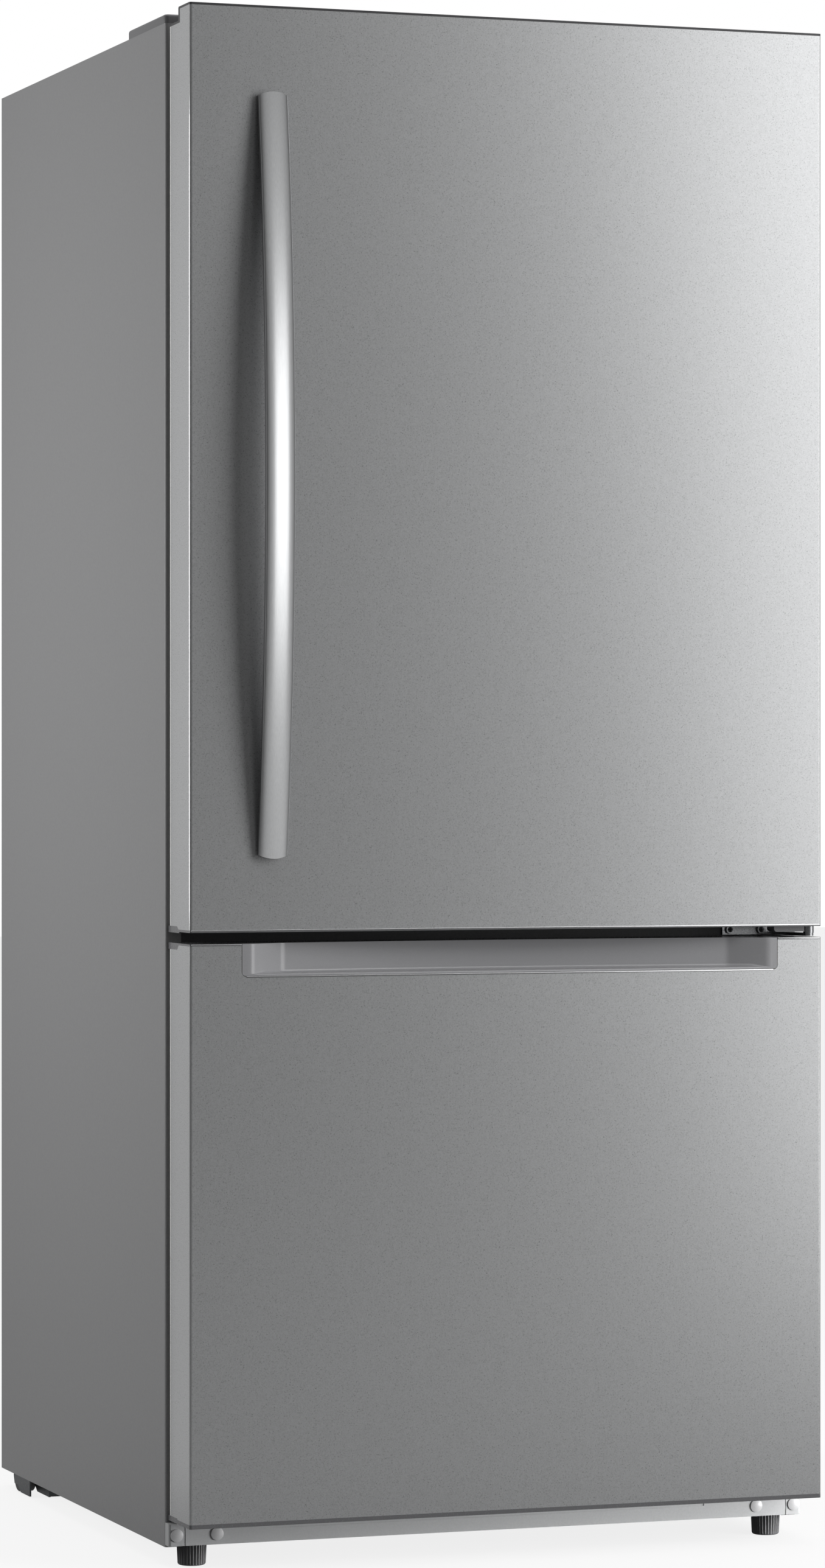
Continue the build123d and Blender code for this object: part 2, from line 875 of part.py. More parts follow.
def crisper(side, name):
    """Vegetable drawer: a tub hung by its rim, with a taller front and a finger lip."""
    rim_inner = divider_half + slide_gap
    rim_outer = fridge_clear - slide_gap
    tub_x = span(side, rim_inner + ledge_reach + slide_gap, rim_outer - ledge_reach - slide_gap)
    floor = fridge_ground + crisper_ground
    crisper_back = fridge_back - crisper_from_back
    rim_low = runner_height + close_gap
    rim_top = rim_low + crisper_rim
    tub_front = shelf_front + crisper_front
    with BuildPart() as drawer:
        block(span(side, rim_inner, rim_outer), (tub_front, crisper_back), (rim_low, rim_top))
        tub(tub_x, (tub_front, crisper_back), (floor, rim_top), crisper_wall, liner_radius)
        face = span(side, rim_inner + crisper_face_near, rim_outer - crisper_face_far)
        block(face, (shelf_front, tub_front), (floor, rim_top + crisper_face_rise))
        middle = side * (rim_inner + rim_outer) / 2
        grip = (middle - crisper_grip_half, middle + crisper_grip_half)
        lip_front = shelf_front - crisper_lip
        lip_top = rim_top + crisper_grip_top
        block(grip, (lip_front, shelf_front), (lip_top - crisper_grip_thick, lip_top))
        block(grip, (lip_front, lip_front + crisper_grip_thick), (rim_top + crisper_grip_low, lip_top))
    save(drawer.part, name)


crisper(-1, "crisper_left")
crisper(1, "crisper_right")

# Control box under the ceiling, with holes for two push buttons and a board above them.
panel_bottom = fridge_roof - panel_height
board_bottom = panel_bottom + panel_wall + button_flange + button_travel + close_gap
with BuildPart() as control_panel:
    block((-panel_half, panel_half), (panel_front, panel_back), (panel_bottom, fridge_roof))
    inside_x = (-panel_half + panel_wall, panel_half - panel_wall)
    inside_depths = (panel_front + panel_wall, panel_back - panel_wall)
    block(inside_x, inside_depths, (panel_bottom + panel_wall, fridge_roof), Mode.SUBTRACT)
    block(inside_x, inside_depths, (board_bottom, board_bottom + panel_wall))
    for side in (-1, 1):
        hole = span(side, button_x - button_half - slide_gap, button_x + button_half + slide_gap)
        hole_depths = (button_front - slide_gap, button_back + slide_gap)
        block(hole, hole_depths, (panel_bottom, panel_bottom + panel_wall), Mode.SUBTRACT)
save(control_panel.part, "control_panel")


def push_button(side, name):
    """Button with a flange behind the panel that keeps it from falling out."""
    stem = span(side, button_x - button_half, button_x + button_half)
    flange = span(side, button_x - button_half - button_lap, button_x + button_half + button_lap)
    top = panel_bottom + panel_wall + button_flange
    with BuildPart() as button:
        block(stem, (button_front, button_back), (panel_bottom - button_proud, top))
        flange_depths = (button_front - button_lap, button_back + button_lap)
        block(flange, flange_depths, (panel_bottom + panel_wall + close_gap, top))
    save(button.part, name)


push_button(-1, "button_fridge")
push_button(1, "button_freezer")

# Air duct up the rear wall, with outlets over the shelves and a throat down to the freezer.
with BuildPart() as air_duct:
    duct_front = fridge_rear - duct_depth
    block((-duct_half, duct_half), (duct_front, fridge_rear), (fridge_ground, fridge_roof - close_gap))
    inside = (-duct_half + duct_wall, duct_half - duct_wall)
    inside_heights = (fridge_ground + duct_wall, fridge_roof - close_gap - duct_wall)
    block(inside, (duct_front + duct_wall, fridge_rear), inside_heights, Mode.SUBTRACT)
    for height in shelf_heights:
        for side in (-1, 1):
            outlet = span(side, outlet_near, outlet_far)
            outlet_heights = (height + outlet_rise, height + outlet_rise + outlet_tall)
            block(outlet, (duct_front, duct_front + duct_wall), outlet_heights, Mode.SUBTRACT)
    block((-throat_half, throat_half), (throat_front, throat_back), (freezer_roof, fridge_ground))
    clear_x = throat_half - throat_wall
    clear_depths = (throat_front + throat_wall, throat_back - throat_wall)
    clear_heights = (freezer_roof, fridge_ground + duct_wall)
    block((-clear_x, clear_x), clear_depths, clear_heights, Mode.SUBTRACT)
    damper_axis = throat_front + throat_wall + damper_offset
    pins = (-throat_half, throat_half)
    across(pins, damper_axis, damper_height, damper_pin + pin_clearance, Mode.SUBTRACT)
save(air_duct.part, "air_duct")

# Damper: a flap on two pins that shuts the throat.
with BuildPart() as damper_flap:
    flap_x = clear_x - damper_clear
    flap_depths = (clear_depths[0] + damper_clear, clear_depths[1] - damper_clear)
    half_thick = damper_thick / 2
    block((-flap_x, flap_x), flap_depths, (damper_height - half_thick, damper_height + half_thick))
    pins = (-throat_half + close_gap, throat_half - close_gap)
    across(pins, damper_axis, damper_height, damper_pin)
save(damper_flap.part, "damper_flap")

# ---------------------------------------------------------------- freezer interior


def slide_channel(x_out, x_in, depth, z, wall):
    """Two mirrored C channels, open towards the middle of the cabinet."""
    for side in (-1, 1):
        block(span(side, x_out, x_out - wall), depth, z)
        block(span(side, x_out, x_in), depth, (z[0], z[0] + wall))
        block(span(side, x_out, x_in), depth, (z[1] - wall, z[1]))


# Three members a side: one on the liner, one between, and one that carries the drawer.
rail_back = freezer_back - rail_from_back
fixed_open = freezer_clear - rail_wide
middle_out = freezer_clear - rail_wall - slide_gap
inner_out = middle_out - rail_wall - slide_gap
inner_low = rail_low + 2 * (rail_wall + slide_gap)
inner_high = rail_low + rail_tall - 2 * (rail_wall + slide_gap)
middle_heights = (rail_low + rail_wall + slide_gap, rail_low + rail_tall - rail_wall - slide_gap)
with BuildPart() as slide_rails:
    fixed_heights = (rail_low, rail_low + rail_tall)
    fixed_depths = (rail_front, rail_back + fixed_rail_longer)
    slide_channel(freezer_clear, fixed_open, fixed_depths, fixed_heights, rail_wall)
save(slide_rails.part, "slide_rails")

with BuildPart() as middle_rails:
    middle_depths = (rail_front + middle_rail_later, rail_back)
    slide_channel(middle_out, fixed_open + slide_gap, middle_depths, middle_heights, rail_wall)
save(middle_rails.part, "middle_rails")

with BuildPart() as drawer_rails:
    inner_open = inner_out - inner_rail_wide
    inner_depths = (door_thickness, rail_back - inner_rail_shorter)
    slide_channel(inner_out, inner_open, inner_depths, (inner_low, inner_high), rail_wall)
save(drawer_rails.part, "drawer_rails")


def basket(tub_half, rim_half, depth, floor, rim_low, name):
    """Freezer basket: a tub with a rim along its sides that lies on its rails or ledges."""
    rim_top = rim_low + basket_rim
    with BuildPart() as tray:
        block((-rim_half, rim_half), depth, (rim_low, rim_top))
        tub((-tub_half, tub_half), depth, (floor, rim_top), basket_wall, liner_radius)
    save(tray.part, name)


basket(
    fixed_open - lower_basket_inset,
    fixed_open - lower_rim_gap,
    (lower_basket_front, step_front - lower_basket_gap),
    lower_basket_floor,
    inner_high + close_gap,
    "lower_basket",
)
basket(
    freezer_clear - ledge_reach - slide_gap,
    freezer_clear - slide_gap,
    (upper_basket_front, freezer_back - upper_basket_from_back),
    upper_basket_floor,
    upper_basket_rim + close_gap,
    "upper_basket",
)

# Cover in front of the evaporator, with the fan's hole and its motor on three arms.
air_wall_depth = freezer_back - air_wall_from_back
coil_half = freezer_clear - coil_inset
motor_front = air_wall_depth + motor_set_back
fan_front = air_wall_depth + fan_set_back
air_wall_back = air_wall_depth + air_wall
with BuildPart() as evaporator_cover:
    cover_half = freezer_clear - close_gap
    cover_heights = (step_top + liner_wall + close_gap, freezer_roof - close_gap)
    block((-cover_half, cover_half), (air_wall_depth, air_wall_back), cover_heights)
    endwise(0, (air_wall_depth, air_wall_back), fan_height, fan_hole, Mode.SUBTRACT)
    with Locations((0, at((air_wall_depth + air_wall_back) / 2), coil_bottom + coil_pitch)):
        inlet_pitch = 2 * (coil_half - inlet_margin) / (inlet_count - 1)
        with GridLocations(inlet_pitch, 1, inlet_count, 1):
            Box(inlet_wide, 2 * air_wall, inlet_tall, mode=Mode.SUBTRACT)
    endwise(0, (motor_front, motor_front + motor_long), fan_height, motor_radius)
    endwise(0, (fan_front + fan_bore_start + close_gap, motor_front), fan_height, fan_shaft)
    arm_length = fan_hole + arm_past_hole
    for angle in (90, 210, 330):
        x = arm_length * math.cos(math.radians(angle))
        z = arm_length * math.sin(math.radians(angle))
        place = (x / 2, at(motor_front + arm_square / 2), fan_height + z / 2)
        with Locations(Location(place, (0, -angle, 0))):
            Box(arm_length, arm_square, arm_square)
        endwise(x, (air_wall_back, motor_front + arm_square), fan_height + z, post_radius)
save(evaporator_cover.part, "evaporator_cover")

with BuildPart() as evaporator_fan_blade:
    endwise(0, (fan_front, fan_front + fan_width), fan_height, fan_hub)
    for number in range(fan_blades):
        angle = 360 / fan_blades * number
        reach = (fan_hub + fan_radius - blade_sink) / 2
        x = reach * math.cos(math.radians(angle))
        z = reach * math.sin(math.radians(angle))
        place = Location((x, at(fan_front + fan_width / 2), fan_height + z), (0, -angle, 0))
        with Locations(place * Location((0, 0, 0), (fan_pitch, 0, 0))):
            Box(fan_radius - fan_hub + blade_sink, blade_thick, blade_chord)
    bore = (fan_front + fan_bore_start, fan_front + fan_width)
    endwise(0, bore, fan_height, fan_shaft + pin_clearance, Mode.SUBTRACT)
save(evaporator_fan_blade.part, "evaporator_fan_blade")

# Evaporator: fins on a tube that runs to and fro.
with BuildPart() as evaporator_coil:
    coil_front = air_wall_back + close_gap
    coil_back = freezer_back - coil_from_back
    coil_depth = (coil_front + coil_back) / 2
    tube_half = coil_half + coil_tube_out
    for row in range(coil_rows):
        height = coil_bottom + coil_pitch * (row + 0.5)
        across((-tube_half, tube_half), coil_depth, height, coil_tube)
        if row < coil_rows - 1:
            end = tube_half if row % 2 == 0 else -tube_half
            elbow = coil_tube + elbow_swell
            upright(end, coil_depth, (height - elbow, height + coil_pitch + elbow), elbow)
    coil_tall = coil_pitch * coil_rows
    with Locations((0, at(coil_depth), coil_bottom + coil_tall / 2)):
        with GridLocations(2 * coil_half / (fin_count - 1), 1, fin_count, 1):
            Box(fin_thick, coil_back - coil_front, coil_tall)
save(evaporator_coil.part, "evaporator_coil")

# ---------------------------------------------------------------- compressor room

compressor_x = compressor_inset - half_width
compressor_depth = body_depth - compressor_from_back
base_plate = pan_top + grommet_height
compressor_base = base_plate + frame_sheet
with BuildPart() as compressor:
    shell_heights = (compressor_base, compressor_base + compressor_height)
    upright(compressor_x, compressor_depth, shell_heights, compressor_radius)
    rounds = compressor.edges().filter_by(GeomType.CIRCLE).group_by(Axis.Z)
    fillet(rounds[-1], compressor_dome)
    chamfer(compressor.edges().filter_by(GeomType.CIRCLE).group_by(Axis.Z)[0], compressor_foot)
    with Locations((compressor_x, at(compressor_depth), (base_plate + compressor_base) / 2)):
        Box(2 * foot_spread_x + foot_margin, 2 * foot_spread_y + foot_margin, frame_sheet)
        with GridLocations(2 * foot_spread_x, 2 * foot_spread_y, 2, 2):
            Cylinder(stud_radius + close_gap, frame_sheet, mode=Mode.SUBTRACT)
    terminal_x = compressor_x + compressor_radius + terminal_out
    with Locations((terminal_x, at(compressor_depth), compressor_base + terminal_rise)):
        Box(*terminal_box)
save(compressor.part, "compressor")

# Rubber grommets and their studs, between the compressor's feet and the pan.
with BuildPart() as compressor_grommets:
    with Locations((compressor_x, at(compressor_depth), pan_top + grommet_height / 2)):
        with GridLocations(2 * foot_spread_x, 2 * foot_spread_y, 2, 2):
            Cylinder(grommet_radius, grommet_height)
    stud_height = grommet_height + frame_sheet + stud_proud
    with Locations((compressor_x, at(compressor_depth), pan_top + stud_height / 2)):
        with GridLocations(2 * foot_spread_x, 2 * foot_spread_y, 2, 2):
            Cylinder(stud_radius, stud_height)
save(compressor_grommets.part, "compressor_grommets")

# Condenser in three layers on two end plates, with the filter drier and the lines to the foam.
with BuildPart() as condenser_coil:
    condenser_half = half_width - condenser_inset
    condenser_front = body_depth - condenser_from_back
    low = pan_top + condenser_rise
    high = low + condenser_pitch * (condenser_rows - 1)
    elbow = condenser_tube + elbow_swell
    for layer in range(condenser_layers):
        depth = condenser_front + condenser_layer * layer
        for row in range(condenser_rows):
            height = low + condenser_pitch * row
            across((-condenser_half, condenser_half), depth, height, condenser_tube)
            if row < condenser_rows - 1:
                end = condenser_half if (row + layer) % 2 == 0 else -condenser_half
                upright(end, depth, (height - elbow, height + condenser_pitch + elbow), elbow)
    last_depth = condenser_front + (condenser_layers - 1) * condenser_layer
    cross_over = (condenser_front - elbow - elbow_swell, last_depth + elbow + elbow_swell)
    endwise(-condenser_half, cross_over, high, elbow + elbow_swell)
    for side in (-1, 1):
        plate_out = condenser_half - condenser_plate_inset
        plate = span(side, plate_out, plate_out - condenser_plate_thick)
        plate_depths = (condenser_front - condenser_plate_margin, last_depth + condenser_plate_margin)
        block(plate, plate_depths, (pan_top, high + condenser_plate_margin))
    drier_x = -condenser_half - drier_gap
    drier_depth = compressor_depth - drier_forward
    upright(drier_x, drier_depth, (low, room_top), line_radius)
    upright(drier_x, drier_depth, drier_ends, drier_radius)
    across((drier_x, -condenser_half), drier_depth, low, line_radius)
    suction_x = compressor_x - compressor_radius - suction_gap
    upright(suction_x, compressor_depth, (suction_height, room_top), line_radius)
    suction_end = compressor_x - compressor_radius - close_gap
    across((suction_x, suction_end), compressor_depth, suction_height, line_radius)
save(condenser_coil.part, "condenser_coil")

shroud_x = condenser_half + shroud_gap
room_fan_depth = body_depth - room_fan_from_back
with BuildPart() as condenser_fan_shroud:
    motor_x = shroud_x + room_motor_gap
    shroud_half = room_fan_radius + shroud_margin
    shroud_depths = (room_fan_depth - shroud_half, room_fan_depth + shroud_half)
    shroud_ends = (shroud_x, shroud_x + shroud_wall)
    block(shroud_ends, shroud_depths, (pan_top, room_fan_height + shroud_half))
    hole = room_fan_radius + shroud_bore_gap
    across(shroud_ends, room_fan_depth, room_fan_height, hole, Mode.SUBTRACT)
    across((motor_x, motor_x + room_motor_long), room_fan_depth, room_fan_height, room_motor_radius)
    across((shroud_x + room_shaft_start, motor_x), room_fan_depth, room_fan_height, fan_shaft)
    arm_length = hole + room_arm_past
    for angle in (90, 210, 330):
        y = arm_length * math.cos(math.radians(angle))
        z = arm_length * math.sin(math.radians(angle))
        place = (motor_x + arm_square / 2, at(room_fan_depth) + y / 2, room_fan_height + z / 2)
        with Locations(Location(place, (angle, 0, 0))):
            Box(arm_square, arm_length, arm_square)
        post = (shroud_x + shroud_wall, motor_x + arm_square)
        across(post, room_fan_depth + y, room_fan_height + z, post_radius)
save(condenser_fan_shroud.part, "condenser_fan_shroud")

with BuildPart() as condenser_fan_blade:
    hub_ends = (shroud_x - hub_before, shroud_x + hub_behind)
    across(hub_ends, room_fan_depth, room_fan_height, room_hub)
    for number in range(fan_blades):
        angle = 360 / fan_blades * number
        reach = (room_hub + room_fan_radius - blade_sink) / 2
        y = reach * math.cos(math.radians(angle))
        z = reach * math.sin(math.radians(angle))
        place = (sum(hub_ends) / 2, at(room_fan_depth) + y, room_fan_height + z)
        with Locations(Location(place, (angle, 0, 0)) * Location((0, 0, 0), (0, room_blade_pitch, 0))):
            Box(room_blade_chord, room_fan_radius - room_hub + blade_sink, blade_thick)
    bore = (shroud_x + hub_bore_start, hub_ends[1])
    across(bore, room_fan_depth, room_fan_height, fan_shaft + pin_clearance, Mode.SUBTRACT)
save(condenser_fan_blade.part, "condenser_fan_blade")

with BuildPart() as drain_pan:
    drain_x = (half_width - drain_inset - drain_wide, half_width - drain_inset)
    drain_depths = (body_depth - drain_from_back - drain_deep, body_depth - drain_from_back)
    tub(drain_x, drain_depths, (pan_top, pan_top + drain_tall), drain_wall, liner_radius)
save(drain_pan.part, "drain_pan")

# Rear cover of the room, slotted for air, with the grommet that the supply lead leaves by.
gland_x = gland_inset - half_width
with BuildPart() as machine_cover:
    block((-back_half, back_half), (back_inside, body_depth), (pan_height, room_top))
    vent_left = gland_x + vent_from_gland
    vent_right = back_half - vent_inset
    vent_pitch = (vent_right - vent_left) / (vent_columns - 1)
    vent_centre = ((vent_left + vent_right) / 2, at(body_depth - sheet / 2), (pan_height + room_top) / 2)
    with Locations(vent_centre):
        with GridLocations(vent_pitch, vent_row_pitch, vent_columns, vent_rows):
            Box(vent_wide, sheet, vent_tall, mode=Mode.SUBTRACT)
    endwise(gland_x, (back_inside, body_depth), gland_z, gland_radius, Mode.SUBTRACT)
save(machine_cover.part, "machine_cover")

with BuildPart() as lead_grommet:
    neck = (back_inside - gland_neck, body_depth)
    endwise(gland_x, neck, gland_z, gland_radius)
    endwise(gland_x, (back_inside - gland_flange, back_inside), gland_z, gland_radius + gland_flange)
    endwise(gland_x, neck, gland_z, gland_radius / 2, Mode.SUBTRACT)
save(lead_grommet.part, "lead_grommet")

# ---------------------------------------------------------------- pieces common to both fronts

sheet_back = door_thickness - door_liner_wall
full_front = (-door_half, door_half)


def door_plan(z, inset, back, mode=Mode.ADD):
    """Upright prism with a front's plan: rounded front edges, drawn in by an inset."""
    side = door_half - inset
    radius = max(door_edge_radius - inset, inner_edge_radius)
    with BuildSketch(Plane.XY.offset(z[0])) as plan:
        with BuildLine():
            Polyline(
                (-side, at(back)),
                (-side, at(inset)),
                (side, at(inset)),
                (side, at(back)),
                close=True,
            )
        make_face()
        fillet(near(plan.vertices(), -side, at(inset)), radius)
        fillet(near(plan.vertices(), side, at(inset)), radius)
    extrude(plan.sketch, amount=z[1] - z[0], mode=mode)


def folded_sheet(bottom, top):
    """Stainless sheet round a front and its two sides."""
    door_plan((bottom, top), 0, sheet_back)
    door_plan((bottom, top), skin, sheet_back, Mode.SUBTRACT)


def ear(side, edge, reach, back, mode=Mode.ADD):
    """Lug of an end cap that laps the rear corner of a front's side."""
    with BuildSketch(Plane.YZ.offset(side * door_half)) as lug:
        with BuildLine():
            Polyline(
                (at(ear_front), edge),
                (at(ear_front + ear_slant), edge + reach),
                (at(back), edge + reach),
                (at(back), edge),
                close=True,
            )
        make_face()
    extrude(lug.sketch, amount=-side * ear_thick, mode=mode)


def gasket(low, high, name):
    """Magnetic seal in a ring, just off the cabinet's face."""
    depths = (door_thickness, cabinet_setback - gasket_gap)
    with BuildPart() as seal:
        block((-opening_half, opening_half), depths, (low, high))
        hole = opening_half - gasket_width
        block((-hole, hole), depths, (low + gasket_width, high - gasket_width), Mode.SUBTRACT)
    save(seal.part, name)


# ---------------------------------------------------------------- fridge door

door_ledge = door_top - ledge_drop
skin_top = door_top - cap_lip
lip_bottom = door_bottom - cap_lip
notch_left = hinge_x - notch_side
dike_inner = door_half - dike_inset
dike_bottom = door_bottom + dike_rise
dike_top = door_top - dike_drop


def door_ears(mode):
    """The hinge side's lug stops at the door's back, so that it swings past the cabinet."""
    ear(-1, lip_bottom - ear_drop, ear_reach, ear_back, mode)
    ear(1, lip_bottom - ear_drop, ear_reach, door_thickness, mode)


def hinge_notch():
    """Room for the hinge's arm, open to the side, as the door turns round it."""
    heights = (door_ledge, door_top)
    block((notch_left, door_half), (notch_front, ledge_clear), heights, Mode.SUBTRACT)


def hinge_boss(z, mode=Mode.ADD):
    """Solid corner of a cap round a hinge pin."""
    block((notch_left, door_half - skin), (door_edge_radius, 2 * hinge_depth), z, mode)


def cap_hollow(mode):
    """Foamed space in the raised front of the top cap."""
    hollow_x = (-door_half + skin + cap_wall, notch_left - cap_wall)
    depths = (skin + cap_wall, ledge_clear - cap_wall)
    block(hollow_x, depths, (door_ledge - cap_wall, door_top - cap_wall), mode)


def dikes(inset, front, mode=Mode.ADD):
    for side in (-1, 1):
        wide = span(side, dike_inner + inset, dike_inner + dike_width - inset)
        block(wide, (front, dike_back - inset), (dike_bottom + inset, dike_top - inset), mode)


top_boss = (cabinet_top - pin_reach - close_gap - boss_floor, door_ledge - cap_wall)
bottom_boss = (door_bottom + cap_wall - cap_lip, collar_top + pin_reach + close_gap + boss_floor)

# The sheet is cut down behind the raised front, and open at the hinge's notch.
with BuildPart() as fridge_door_skin:
    folded_sheet(door_bottom, skin_top)
    block(full_front, (ledge_start, door_thickness), (door_ledge - cap_lip, door_top), Mode.SUBTRACT)
    hinge_notch()
    door_ears(Mode.SUBTRACT)
save(fridge_door_skin.part, "fridge_door_skin")

with BuildPart() as fridge_door_top_cap:
    door_plan((door_ledge - cap_wall, skin_top), skin, sheet_back)
    door_plan((skin_top, door_top), 0, ledge_clear)
    block(full_front, (ledge_start, door_thickness), (door_ledge - cap_lip, door_top))
    block(full_front, (ledge_clear, door_thickness), (door_ledge, door_top), Mode.SUBTRACT)
    rear_edges = fridge_door_top_cap.edges().filter_by(Axis.X).group_by(Axis.Z)[-1].sort_by(Axis.Y)
    fillet(rear_edges[-1], ledge_round)
    cap_hollow(Mode.SUBTRACT)
    hinge_boss(top_boss)
    hinge_notch()
    bore = (cabinet_top - pin_reach - close_gap, door_ledge)
    upright(hinge_x, hinge_depth, bore, pin_radius + pin_clearance, Mode.SUBTRACT)
save(fridge_door_top_cap.part, "fridge_door_top_cap")

# Bottom cap, with the boss for the middle hinge's pin and the door stop below it.
with BuildPart() as fridge_door_bottom_cap:
    door_plan((lip_bottom, door_bottom), 0, door_thickness)
    door_plan((door_bottom, door_bottom + cap_wall - cap_lip), skin, sheet_back)
    hinge_boss(bottom_boss)
    door_ears(Mode.ADD)
    stop_left = half_width - stop_left_inset
    stop_right = half_width - stop_right_inset
    with BuildSketch(Plane.XZ.offset(-at(stop_front))) as stop:
        with BuildLine():
            Polyline(
                (stop_left, lip_bottom),
                (stop_left, lip_bottom - stop_drop),
                (stop_right, lip_bottom - stop_drop),
                (stop_right, lip_bottom),
                close=True,
            )
        make_face()
        fillet(near(stop.vertices(), stop_left, lip_bottom - stop_drop), stop_radius)
    extrude(amount=stop_front - stop_back)
    bore = (lip_bottom, collar_top + pin_reach + close_gap)
    upright(hinge_x, hinge_depth, bore, pin_radius + pin_clearance, Mode.SUBTRACT)
save(fridge_door_bottom_cap.part, "fridge_door_bottom_cap")

with BuildPart() as fridge_door_foam:
    door_plan((door_bottom + cap_wall - cap_lip, door_ledge - cap_wall), skin, sheet_back)
    cap_hollow(Mode.ADD)
    dikes(door_liner_wall, sheet_back)
    hinge_boss(top_boss, Mode.SUBTRACT)
    hinge_boss(bottom_boss, Mode.SUBTRACT)
    door_ears(Mode.SUBTRACT)
save(fridge_door_foam.part, "fridge_door_foam")

with BuildPart() as fridge_door_liner:
    block(full_front, (sheet_back, door_thickness), (door_bottom, door_ledge - cap_lip))
    dikes(0, sheet_back)
    dikes(door_liner_wall, sheet_back, Mode.SUBTRACT)
    door_ears(Mode.SUBTRACT)
save(fridge_door_liner.part, "fridge_door_liner")

gasket(door_bottom + gasket_inset, door_ledge - gasket_inset, "fridge_door_gasket")

with BuildPart() as door_bins:
    bin_half = dike_inner - close_gap
    lowest_bin = dike_bottom + bin_rise
    bin_pitch = (dike_top - bin_drop - lowest_bin) / (bin_count - 1)
    for number in range(bin_count):
        height = lowest_bin + bin_pitch * number
        depths = (door_thickness + close_gap, bin_back)
        tub((-bin_half, bin_half), depths, (height, height + bin_tall), bin_wall, bin_radius)
save(door_bins.part, "door_bins")

# Handle: a bar with a crowned front, bowed along an arc, on two bosses that stand on the door.
with BuildPart() as handle_bar:
    handle_centre_x = handle_inset - half_width
    handle_centre_z = (door_top + door_bottom) / 2 - handle_drop
    handle_crown = handle_reach - handle_bow
    half_length = handle_length / 2
    bow_radius = (half_length**2 + handle_bow**2) / (2 * handle_bow)
    spine_half = half_length + spine_spare
    spine_end = bow_radius - math.sqrt(bow_radius**2 - spine_half**2) - handle_bow
    with BuildLine() as spine:
        ThreePointArc(
            (handle_centre_x, at(spine_end), handle_centre_z - spine_half),
            (handle_centre_x, at(-handle_bow), handle_centre_z),
            (handle_centre_x, at(spine_end), handle_centre_z + spine_half),
        )
    with BuildSketch(Plane(spine.line @ 0, x_dir=(1, 0, 0), z_dir=spine.line % 0)):
        with BuildLine():
            half = handle_width / 2
            Polyline((-half, -handle_side), (-half, 0), (half, 0), (half, -handle_side))
            ThreePointArc((half, -handle_side), (0, -handle_crown), (-half, -handle_side))
        make_face()
    sweep(path=spine.line)
    with BuildSketch(Plane.XZ.offset(-front_y)):
        with BuildLine():
            left = handle_centre_x - handle_width / 2
            right = handle_centre_x + handle_width / 2
            side_low = handle_centre_z - half_length + handle_end_crown
            side_high = handle_centre_z + half_length - handle_end_crown
            Line((left, side_low), (left, side_high))
            top_tip = (handle_centre_x, handle_centre_z + half_length)
            ThreePointArc((left, side_high), top_tip, (right, side_high))
            Line((right, side_high), (right, side_low))
            bottom_tip = (handle_centre_x, handle_centre_z - half_length)
            ThreePointArc((right, side_low), bottom_tip, (left, side_low))
        make_face()
    extrude(amount=2 * handle_reach, mode=Mode.INTERSECT)
    for side in (-1, 1):
        mount_z = handle_centre_z + side * (half_length - mount_from_end)
        endwise(handle_centre_x, (-handle_side, 0), mount_z, mount_radius)
save(handle_bar.part, "handle_bar")

# ---------------------------------------------------------------- freezer drawer

drawer_skin_top = drawer_top - drawer_top_lip
drawer_lip_bottom = drawer_bottom - drawer_bottom_lip
grip_back = grip_depth + grip_wall
grip_left = grip_left_inset - half_width
grip_right = half_width - grip_right_inset


def drawer_ears(mode):
    for side in (-1, 1):
        ear(side, drawer_top, -ear_reach, ear_back, mode)
        ear(side, drawer_lip_bottom, ear_reach - ear_drop, ear_back, mode)


def grip_body(mode=Mode.ADD):
    """Outer block of the pocket grip, with rounded lower corners."""
    with BuildSketch(Plane.XZ.offset(-front_y)) as outline:
        with BuildLine():
            Polyline(
                (grip_left, drawer_top),
                (grip_left, drawer_top - grip_drop),
                (grip_right, drawer_top - grip_drop),
                (grip_right, drawer_top),
                close=True,
            )
        make_face()
        fillet(near(outline.vertices(), grip_left, drawer_top - grip_drop), grip_corner)
        fillet(near(outline.vertices(), grip_right, drawer_top - grip_drop), grip_corner)
    extrude(outline.sketch, amount=-grip_back, mode=mode)


def inner_panel(inset, front, mode=Mode.ADD):
    """Raised middle of the drawer's liner."""
    side = door_half - panel_inset_x - inset
    heights = (drawer_bottom + panel_inset_z + inset, drawer_top - panel_inset_z - inset)
    block((-side, side), (front, door_thickness + panel_rise - inset), heights, mode)


with BuildPart() as drawer_skin:
    folded_sheet(drawer_bottom, drawer_skin_top)
    grip_body(Mode.SUBTRACT)
    drawer_ears(Mode.SUBTRACT)
save(drawer_skin.part, "drawer_skin")

with BuildPart() as drawer_grip:
    grip_body()
    with BuildSketch(Plane.XY.offset(drawer_top - grip_drop + grip_floor)):
        with BuildLine():
            crease_left = (grip_left + grip_crease, at(grip_crease_depth))
            crease_right = (grip_right - grip_crease, at(grip_crease_depth))
            mouth_left = (grip_left + grip_end_flat, at(0))
            mouth_right = (grip_right - grip_end_flat, at(0))
            Polyline(crease_left, mouth_left, mouth_right, crease_right)
            deepest = ((grip_left + grip_right) / 2, at(grip_depth))
            ThreePointArc(crease_right, deepest, crease_left)
        make_face()
    extrude(amount=grip_drop, mode=Mode.SUBTRACT)
save(drawer_grip.part, "drawer_grip")

# Top and bottom end caps, lapped round the rear corners.
with BuildPart() as drawer_caps:
    door_plan((drawer_skin_top, drawer_top), 0, door_thickness)
    door_plan((drawer_top - cap_wall, drawer_skin_top), skin, sheet_back)
    grip_body(Mode.SUBTRACT)
    door_plan((drawer_lip_bottom, drawer_bottom), 0, door_thickness)
    drawer_ears(Mode.ADD)
save(drawer_caps.part, "drawer_caps")

